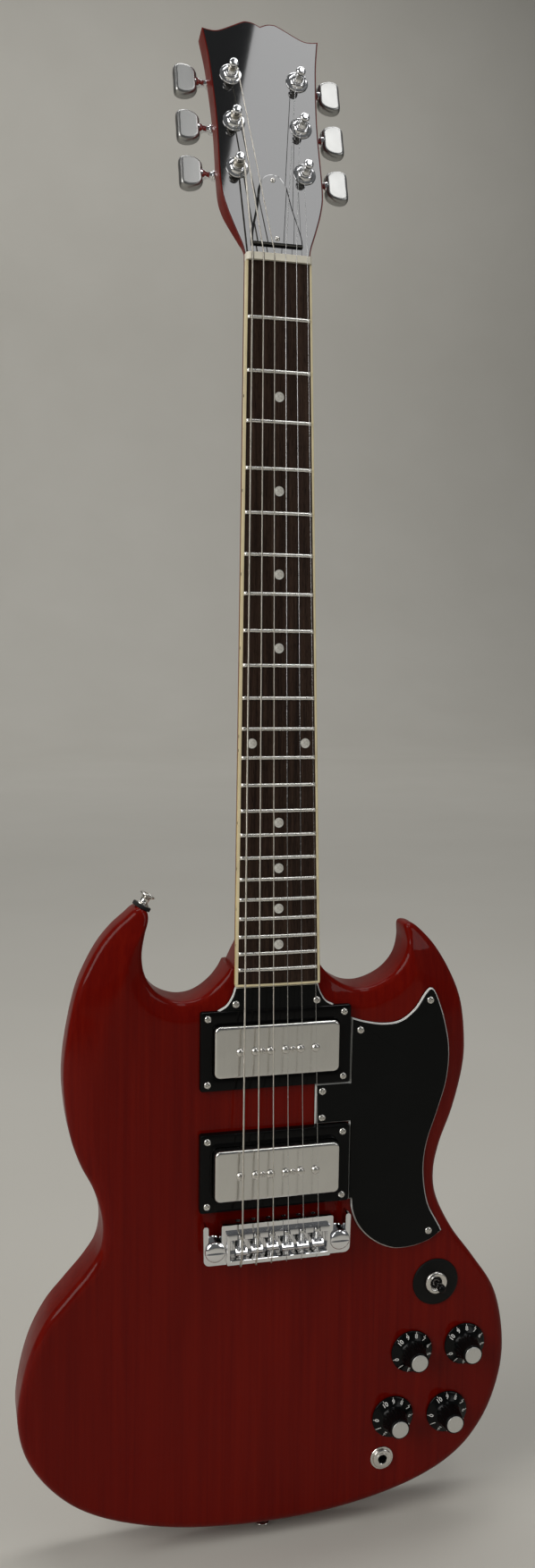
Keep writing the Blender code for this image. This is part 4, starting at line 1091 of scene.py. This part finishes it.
def make_guards():
    side = [(28.2, 164.6), (30.2, 158.5), (34, 152.6), (39.5, 149.4)]
    side = spline(side, 7, closed=False) + [(39.5, 146)]
    ply_plate("tongue_guard", both_sides(side), "neck_guard")

    wing = spline([(52, 139.6), (62, 136.4), (75, 134.2), (87, 135.6), (97, 143),
                   (104, 153.4), (108.2, 156.8), (112.5, 152.6), (119, 134.5), (123, 113),
                   (121.6, 91), (115.5, 69.5), (108.6, 48), (106.6, 28), (110.2, 5),
                   (119.5, -13.2)], 7, closed=False)
    tail = spline([(121.2, -16.8), (111.5, -23.2), (97, -26.6), (83.5, -25.6), (70, -18.4),
                   (60, -7.6), (55, 4), (54, 12.4)], 7, closed=False)
    neck_low, neck_high = box_of("neck_pickup_ring")
    half, lower = neck_high.x + RING_GAP, neck_low.z - RING_GAP
    upper = box_of("bridge_pickup_ring")[1].z + RING_GAP
    inner = [(half, 12.4), (half, upper), (27.5, upper), (27.5, lower), (half, lower)]
    ply_plate("wing_guard", wing + tail + inner, "pickguard")

    top = GUARD_BACK - 2.35
    places = [
        ("tongue_bass", -27.5, 153.0), ("tongue_treble", 27.5, 153.0), ("wing_top", 58.5, 130.6),
        ("wing_horn", 108.0, 148.4), ("wing_notch_high", 32.5, 90.0),
        ("wing_notch_low", 32.5, 71.4), ("wing_tail", 111.0, -15.6),
    ]
    for name, x, z in places:
        screw(f"{name}_screw", facing(x, z, top, spin=x * 0.05), 2.5)


def make_pickup(name):
    low, high = box_of(f"{name}_pickup_ring")
    width, height = high.x - low.x, high.z - low.z
    middle = (low + high) / 2
    top = low.y
    outer = rounded(width, height, 1.8, 8, (0.0, middle.z))
    window = rounded(86.2, 36.2, 4.6, 8, (0, middle.z))
    back = GUARD_BACK - top
    steps = [(0, back), (0, 1.1), (0.12, 0.55), (0.45, 0.15), (0.95, 0)]
    rings = plate_rings(outer, steps, top)
    rings += plate_rings(window, [(-0.5, 0), (-0.12, 0.15), (0, 0.5), (0, back)], top)
    piece(f"{name}_frame", loft(rings, closed=True), BLACK_GLOSS,
          stands_for=f"{name}_pickup_ring", sharp=30.0)
    for side in (-1, 1):
        for end in (-1, 1):
            x, z = side * (width / 2 - 4.9), middle.z + end * (height / 2 - 4.6)
            place = facing(x, z, top + 0.02, spin=0.4 * side * end)
            label = ("bass" if side < 0 else "treble") + ("_low" if end < 0 else "_high")
            screw(f"{name}_frame_screw_{label}", place, 2.3)

    low, high = box_of(f"{name}_pickup_cover")
    centre = (low + high) / 2
    top = low.y
    outline = rounded(high.x - low.x, high.z - low.z, 4, 10, (0, centre.z))
    steps = [
        (0, high.y - top), (0, 2), (0.1, 1.25), (0.4, 0.62), (0.85, 0.22), (1.4, 0.04), (2.2, 0),
    ]
    body = f"{name}_pickup"
    piece(f"{name}_metal_cover", plate(outline, steps, top), COVER_METAL, body, None,
          (f"{name}_pickup_cover", f"{name}_pickup_coil"), sharp=50.0)
    for pole in range(6):
        x = (pole - 2.5) * POLE_STEP
        dome = [
            (0, -0.5), (2.85, -0.5), (2.85, 0.35), (2.75, 0.85), (2.35, 1.5), (1.7, 1.95),
            (0.9, 2.2), (0, 2.28),
        ]
        piece(f"{name}_pole_{pole + 1}", lathe(dome, 40), NICKEL, body, facing(x, centre.z, top))
    for side in (-1, 1):
        label = "bass" if side < 0 else "treble"
        place = facing(side * POLE_STEP, centre.z, top, spin=0.5)
        screw(f"{name}_cover_screw_{label}", place, 2.1, body)


# ---------------------------------------------------------------- bridge


def make_bridge():
    notch, corner = 4.4, 4.0
    tip = BRIDGE_HALF + 0.4
    inner = STUD_X + notch
    side = [(BRIDGE_HALF - 4.5, BRIDGE_BOTTOM_Z)]
    side += arc(BRIDGE_HALF - corner, BRIDGE_BOTTOM_Z + corner, corner, 0.15 - QUARTER, 0.0, 7)
    side += arc((tip + inner) / 2, BRIDGE_TOP_Z - 1.4, (tip - inner) / 2, 0.0, math.pi, 9)
    side += arc(STUD_X, STUD_Z, notch, 0.0, -math.pi, 15)
    side += [(STUD_X - notch, BRIDGE_TOP_Z - 0.8), (STUD_X - notch - 0.8, BRIDGE_TOP_Z)]
    outline = both_sides(side)
    base = piece("bridge_base", bar(outline, (BRIDGE_DECK, BRIDGE_UNDERSIDE)), CHROME,
                 "bridge_plate", stands_for="bridge", sharp=30.0)
    cut_away(base, block((-33, -70, -14.8), (33, POCKET_FLOOR, -0.9)), "saddle_pocket")
    bores = bmesh.new()
    for index in range(6):
        x = (index / 5 - 0.5) * BRIDGE_SPREAD
        bar(disc(x, STRING_HOLE_Y, 1.7, 20), (BRIDGE_BOTTOM_Z - 5, BRIDGE_TOP_Z + 5), 2, bores)
    cut_away(base, bores, "string_bores")
    soften(base, 0.55)

    middle = (BRIDGE_BOTTOM_Z + 0.5 + 3.4) / 2
    outer = rounded(70.6, 3.4 - BRIDGE_BOTTOM_Z - 0.5, 1, 4, (0, middle))
    inner = rounded(66, 13.9, 0.4, 4, (0, -7.85))
    foot = BRIDGE_DECK + 1 - BRIDGE_CROWN
    rings = plate_rings(outer, [(0, foot), (0, 0.7), (0.2, 0.2), (0.7, 0)], BRIDGE_CROWN)
    rings += plate_rings(inner, [(-0.25, 0), (0, 0.25), (0, foot)], BRIDGE_CROWN)
    crown = piece("bridge_crown", loft(rings, closed=True), CHROME, "bridge_plate", sharp=30.0)
    grooves = bmesh.new()
    for index in range(6):
        x = (index / 5 - 0.5) * BRIDGE_SPREAD
        block((x - 2.5, BRIDGE_CROWN - 2.0, -1.5), (x + 2.5, BRIDGE_CROWN + 3.4, 2.8), grooves)
    cut_away(crown, grooves, "screw_notches")

    for index in range(6):
        make_saddle(index)
    for label in ("bass", "treble"):
        make_stud(label)


def make_saddle(index):
    """A roofed block on its length screw; the screw's head sits in a notch of the crown."""
    low, high = box_of(f"saddle_{index + 1}")
    x = (low.x + high.x) / 2
    body = f"saddle_block_{index + 1}"
    peak = (low.z + high.z) / 2
    profile = [
        (high.y, low.z), (low.y + 2.9, low.z), (low.y + 2.5, low.z + 0.3),
        (low.y + 0.25, peak - 0.75), (low.y + 0.02, peak - 0.3), (low.y + 0.02, peak + 0.3),
        (low.y + 0.3, peak + 0.8), (low.y + 3.1, high.z - 0.25), (low.y + 3.5, high.z),
        (high.y, high.z),
    ]
    saddle = piece(f"saddle_roof_{index + 1}", bar(profile, (low.x, high.x), axis=0), CHROME, body,
                   None, f"saddle_{index + 1}", "nickel")
    notch = block((x - 0.45, low.y - 2.0, low.z - 1.0), (x + 0.45, low.y + 0.22, high.z + 1.0))
    cut_away(saddle, notch, "string_notch")
    windows = bmesh.new()
    for side in (-1, 1):
        edges = sorted((x + side * 1.3, x + side * 2.7))
        block((edges[0], low.y - 2.0, peak + 1.5), (edges[1], low.y + 5.2, high.z + 1.0), windows)
    cut_away(saddle, windows, "saddle_slots")
    soften(saddle, 0.22)

    threads = enumerate(np.arange(-14.1, -0.2, 0.35))
    ridges = [(1.2 if step % 2 else 0.98, z) for step, z in threads]
    head = [(1.2, 0), (2, 0.1), (2.15, 0.4), (2.15, 1.8), (1.9, 2.3), (0, 2.4)]
    spindle = piece(f"length_screw_{index + 1}", lathe([(0, -14.4)] + ridges + head, 20), STEEL,
                    "bridge_plate", translated(x, POCKET_FLOOR - 6.6, 0.0))
    cut_away(spindle, block((-0.28, -3, 1.7), (0.28, 3, 3)), "length_slot")


def make_stud(label):
    node = f"{label}_bridge_stud"
    low, high = box_of(node)
    middle = (low + high) / 2
    reach = (high.x - low.x) / 2
    top = -low.y
    under, over = -BRIDGE_UNDERSIDE, -BRIDGE_DECK
    profile = [
        (0, 14), (3.6, 14), (3.6, 36.2), (6.4, 36.2), (6.6, 36.6), (6.6, under - 0.7),
        (6.3, under - 0.4), (3.7, under - 0.4), (3.7, over + 0.4), (reach - 0.4, over + 0.4),
        (reach, over + 0.7), (reach, over + 1.3), (reach - 0.25, over + 1.9),
        (reach - 0.9, over + 2.5), (reach - 2.2, over + 3.05), (reach - 4.0, top - 0.06),
        (0.0, top),
    ]
    place = facing(middle.x, middle.z)
    stud = piece(f"{label}_stud", lathe(profile, 64), CHROME, f"{label}_stud", place, node)
    cut_away(stud, block((-9, -0.75, top - 1.3), (9, 0.75, top + 2)), "stud_slot")
    shade(stud.data)


# ---------------------------------------------------------------- controls

FIGURE_HEIGHT = 4.2


def add_figure(mesh, text, spot):
    """Adds a figure as a thin raised mesh, moved by a matrix in millimetres."""
    curve = bpy.data.curves.new("figure", "FONT")
    curve.body = text
    curve.size = FIGURE_HEIGHT
    curve.extrude = 0.05
    curve.offset = 0.06
    curve.align_x = "CENTER"
    curve.align_y = "CENTER"
    curve.resolution_u = 3
    holder = new_object("figure", curve)
    flat = evaluated_mesh(holder)
    flat.transform(spot)
    mesh.from_mesh(flat)
    bpy.data.objects.remove(holder, do_unlink=True)
    bpy.data.curves.remove(curve)
    bpy.data.meshes.remove(flat)


def make_knob(number):
    """A numbered skirt, a fluted cone and a brushed cap."""
    low, high = box_of(f"knob_{number}")
    middle = (low + high) / 2
    radius = (high.x - low.x) / 2
    top = -low.y
    base = -FACE + 0.6
    body = f"control_knob_{number}"
    place = facing(middle.x, middle.z)
    skirt = [
        (0.0, base + 0.4), (radius - 1.0, base + 0.4), (radius - 0.9, base), (radius - 0.15, base),
        (radius, base + 0.3), (radius, base + 0.9), (radius - 0.25, base + 1.25),
        (radius - 1.1, base + 1.6), (10, base + 3.4), (9.1, base + 4.1), (8.7, base + 4.8),
    ]
    cone = [
        (8.5, base + 5.1), (8.25, base + 6.2), (7.85, base + 8.5), (7.5, base + 11),
        (7.2, base + 13.4), (7, top - 1), (6.75, top - 0.6), (6.45, top - 0.45), (6.15, top - 0.5),
        (0, top - 0.5),
    ]

    def flutes(height):
        return (0.55, 24) if base + 5.6 < height < top - 1.2 else (0, 24)

    shape = lathe(skirt + cone, 192, flutes=flutes)
    piece(f"knob_cone_{number}", shape, BLACK_PLASTIC, body, place, f"knob_{number}", sharp=60.0)
    cap = [
        (0, top - 0.7), (5.9, top - 0.7), (5.9, top - 0.2), (5.75, top - 0.04), (5.4, top - 0.02),
        (0, top),
    ]
    piece(f"knob_cap_{number}", lathe(cap, 96), CAP_METAL, body, place, sharp=60.0)

    figures, ticks = bmesh.new(), bmesh.new()
    slope = Matrix.Rotation(-KNOB_SLOPE, 4, "X")
    for figure in range(11):
        turn = math.radians(KNOB_TENS[number - 1] - KNOB_STEP * (10 - figure))
        lean = Matrix.Rotation(turn - QUARTER, 4, "Z")
        spot = Matrix.Translation((0.0, 11.95, base + 2.53))
        add_figure(figures, str(figure), lean @ spot @ slope)
        spot = Matrix.Translation((0.0, radius - 0.9, base + 1.53))
        add_moved(ticks, block((-0.18, -0.6, -0.05), (0.18, 0.6, 0.05)), lean @ spot @ slope)
    piece(f"knob_figures_{number}", figures, WHITE_PRINT, body, place, sharp=20.0)
    piece(f"knob_ticks_{number}", ticks, WHITE_PRINT, body, place)


def make_switch():
    joint = JOINTS["switch_throw"]["pos_m"]
    x, pivot, z = joint[0] / MM, -joint[1] / MM, joint[2] / MM
    swing = Matrix.Rotation(SWITCH_SWING, 4, "Y")
    upright = translated(x, 0.0, z) @ swing @ OUTWARD
    face = -FACE
    washer = [
        (0, -0.05), (16.6, -0.05), (16.6, 0.7), (16.3, 1.1), (15.7, 1.3), (8.7, 1.35), (8.5, 1.1),
        (0, 1.1),
    ]
    piece("switch_plate", lathe(washer, 96, face), BLACK_SATIN, place=upright)
    base = face + 1.3
    nut = [
        (5.95, 0), (8, 0), (8.15, 0.25), (8.1, 1), (7.75, 1.9), (7.2, 2.3), (6.4, 2.45), (5.2, 2.3),
        (4.6, 1.7), (4.2, 0.6), (3.9, -3), (5.5, -3),
    ]
    ring = lathe(nut, 144, base, True, lambda h: (0.12 if 0 < h < 2.2 else 0.0, 36))
    piece("switch_nut", ring, NICKEL, "guitar", upright, "switch_body", sharp=50.0)
    well = [(0, -6.8), (4, -6.8), (4, -2.9), (5.4, -2.9), (5.4, -7.6), (0, -7.6)]
    piece("switch_well", lathe(well, 48, base), NICKEL, "guitar", upright, slot="steel")

    tilted = translated(x, -pivot, z) @ swing @ Matrix.Rotation(QUARTER - SWITCH_TILT, 4, "X")
    arm = [
        (0, -2.8), (1.3, -2.5), (2.2, -1.8), (2.75, -0.7), (2.8, 0.3), (2.5, 1.3), (1.9, 2.2),
        (1.65, 3), (1.65, 7.4), (0, 7.4),
    ]
    piece("lever_arm", lathe(arm, 48), CHROME, "switch_lever_arm", tilted, "switch_lever")
    tip = [
        (0, 6.9), (1.9, 6.9), (2.05, 7.1), (2.25, 9), (2.6, 11.8), (2.85, 14), (2.85, 15.4),
        (2.6, 16.5), (2, 17.3), (1.1, 17.7), (0, 17.8),
    ]
    piece("lever_tip", lathe(tip, 48), BLACK_PLASTIC, "switch_lever_arm", tilted, sharp=60.0)


def make_jack():
    middle = middle_of("output_jack")
    face = -FACE
    place = facing(middle.x, middle.z)
    washer = [(4.9, -0.05), (8.3, -0.05), (8.3, 0.45), (8.05, 0.75), (4.9, 0.8)]
    piece("jack_washer", lathe(washer, 96, face, True), NICKEL, place=place)
    collar = [
        (3.4, 0.75), (6.65, 0.75), (6.8, 0.95), (6.8, 1.55), (6.5, 1.95), (5.9, 2.2), (4.7, 2.25),
        (3.4, 2.2),
    ]
    piece("jack_ring_nut", lathe(collar, 96, face, True), NICKEL, place=place)
    barrel = [(3.2, -12), (4.6, -12), (4.6, 2.3), (4.4, 2.5), (3.5, 2.5), (3.2, 2.25)]
    piece("jack_barrel", lathe(barrel, 64, face, True), NICKEL, "guitar", place, "output_jack")
    inside = [(0, -13), (6.3, -13), (6.3, -6), (3.15, -5), (3.15, -11), (0, -11)]
    piece("jack_well", lathe(inside, 48, face), BLACK_SATIN, place=place)


def make_control_cover():
    outline = inset(spline(CONTROL_CAVITY, 7), -6.0)
    steps = [(0, -2.4), (0, -0.75), (0.12, -0.45), (0.4, -0.28), (0.8, -0.22)]
    piece("rear_cover", plate(outline, steps), BLACK_PLASTIC, stands_for="control_cover",
          sharp=30.0)
    back = Matrix.Rotation(-QUARTER, 4, "X")
    for number, (x, z) in enumerate(COVER_SCREWS):
        screw(f"rear_cover_screw_{number + 1}", translated(x, -0.25, z) @ back, 2.2)


def make_strap_buttons():
    for name, turn in STRAP_TURNS.items():
        place = translated(*STRAP_PLACES[name]) @ Matrix.Rotation(turn, 4, "Y")
        pad = [(0, 0.05), (6.1, 0.05), (6.4, 0.4), (6.4, 2.1), (6.05, 2.5), (0, 2.6)]
        piece(f"{name}_felt", lathe(pad, 64), FELT, place=place)
        profile = [
            (0, 2.3), (4.4, 2.3), (4.8, 2.6), (4.7, 3), (3.9, 3.4), (3.2, 4), (2.9, 4.9),
            (2.9, 6.2), (3.2, 7.2), (4, 8), (5, 8.6), (5.4, 8.95), (5.5, 9.3), (5.4, 9.7), (5, 10),
            (4.2, 10.15), (3.3, 10.15), (3, 9.8), (2.8, 9.5), (0, 9.5),
        ]
        piece(f"{name}_strap_peg", lathe(profile, 64), NICKEL, "guitar", place,
              f"{name}_strap_button", "chrome")
        screw(f"{name}_peg_screw", place @ translated(0.0, 0.0, 9.5), 2.6, height=0.65)


def dress_hidden_nodes():
    """The CAD pieces that stay as they are, inside the guitar, get finished metal."""
    for node in ("control_pots", "truss_rod"):
        for socket in frame["nodes"][node].material_slots:
            socket.material = STEEL


# ---------------------------------------------------------------- stage


def make_stage():
    """A floor that curves up into a wall, in metres, far enough for a view from behind."""
    floor_z = CAD_BOUNDS[0][2] - 0.0006
    mesh = bmesh.new()
    depth, back, tall, radius = 14.0, 9.0, 9.0, 3.0
    bend = arc(back - radius, floor_z + radius, radius, -QUARTER, 0.0, 24)
    profile = [(-depth, floor_z), *bend, (back, floor_z + tall)]
    rows = [[mesh.verts.new((x, y, z)) for x in (-14.0, 14.0)] for y, z in profile]
    for lower, upper in zip(rows, rows[1:]):
        mesh.faces.new((lower[0], lower[1], upper[1], upper[0]))
    data = bpy.data.meshes.new("sweep")
    mesh.to_mesh(data)
    mesh.free()
    data.polygons.foreach_set("use_smooth", [True] * len(data.polygons))
    paint, tree, inputs = surface("pale_sweep", (0.54, 0.52, 0.47), 0.85, specular=0.1)
    drift = noise(tree, (2, 2, 2), 3)
    feed(tree, inputs["Base Color"],
         ramp(tree, drift, (0.3, (0.53, 0.51, 0.46)), (0.7, (0.55, 0.53, 0.48))))
    data.materials.append(paint)
    new_object("sweep", data)


def make_light(name, place, target, size, power, colour=(1.0, 1.0, 1.0)):
    data = bpy.data.lights.new(name, "AREA")
    data.shape = "RECTANGLE"
    data.size, data.size_y = size
    data.energy = power
    data.color = colour
    obj = new_object(name, data)
    obj.location = place
    obj.rotation_euler = (Vector(target) - Vector(place)).to_track_quat("-Z", "Y").to_euler()
    obj.visible_camera = False


def make_lights():
    scene = bpy.context.scene
    scene.view_settings.view_transform = "Standard"
    world = bpy.data.worlds.new("studio")
    scene.world = world
    world.use_nodes = True
    background = world.node_tree.nodes["Background"].inputs
    background["Color"].default_value = (0.95, 0.98, 1.0, 1.0)
    background["Strength"].default_value = 0.11
    make_light("key", (-1.9, -1.0, 1.3), (0.0, 0.0, 0.1), (1.2, 1.8), 34.0, (1.0, 0.985, 0.96))
    make_light("fill", (1.9, -2.0, 1.2), (0.0, 0.0, 0.1), (1.0, 1.4), 8.0)
    make_light("wash", (0.2, 0.3, 2.5), (0.0, 1.2, 0.5), (2.4, 0.6), 24.0)
    make_light("back_wash", (0.0, 5.0, 5.0), (0.0, 8.0, 0.0), (8.0, 4.0), 190.0)
    make_light("head_card", (0.535, -0.75, 2.0), (0.535, -0.75, 1.0), (0.5, 0.9), 4.6)


def make_camera():
    data = bpy.data.cameras.new("camera")
    data.lens = LENS_MM
    data.sensor_width = 36.0
    camera = new_object("camera", data)
    turn = Matrix.Rotation(math.radians(CAMERA_TURN), 4, Vector(CAMERA_AXIS))
    level = Matrix.Rotation(QUARTER, 4, "X")
    camera.matrix_world = Matrix.Translation(CAMERA_PLACE_M) @ turn @ level
    bpy.context.scene.camera = camera


def main():
    make_camera()
    make_lights()
    make_stage()
    make_body()
    make_neck()
    make_heel()
    make_fretboard()
    make_nut()
    make_truss_cover()
    for number, side, height in tuner_places():
        make_tuner(number, side, height)
    make_strings()
    make_guards()
    make_pickup("neck")
    make_pickup("bridge")
    make_bridge()
    for number in range(1, 5):
        make_knob(number)
    make_switch()
    make_jack()
    make_control_cover()
    make_strap_buttons()
    dress_hidden_nodes()


main()
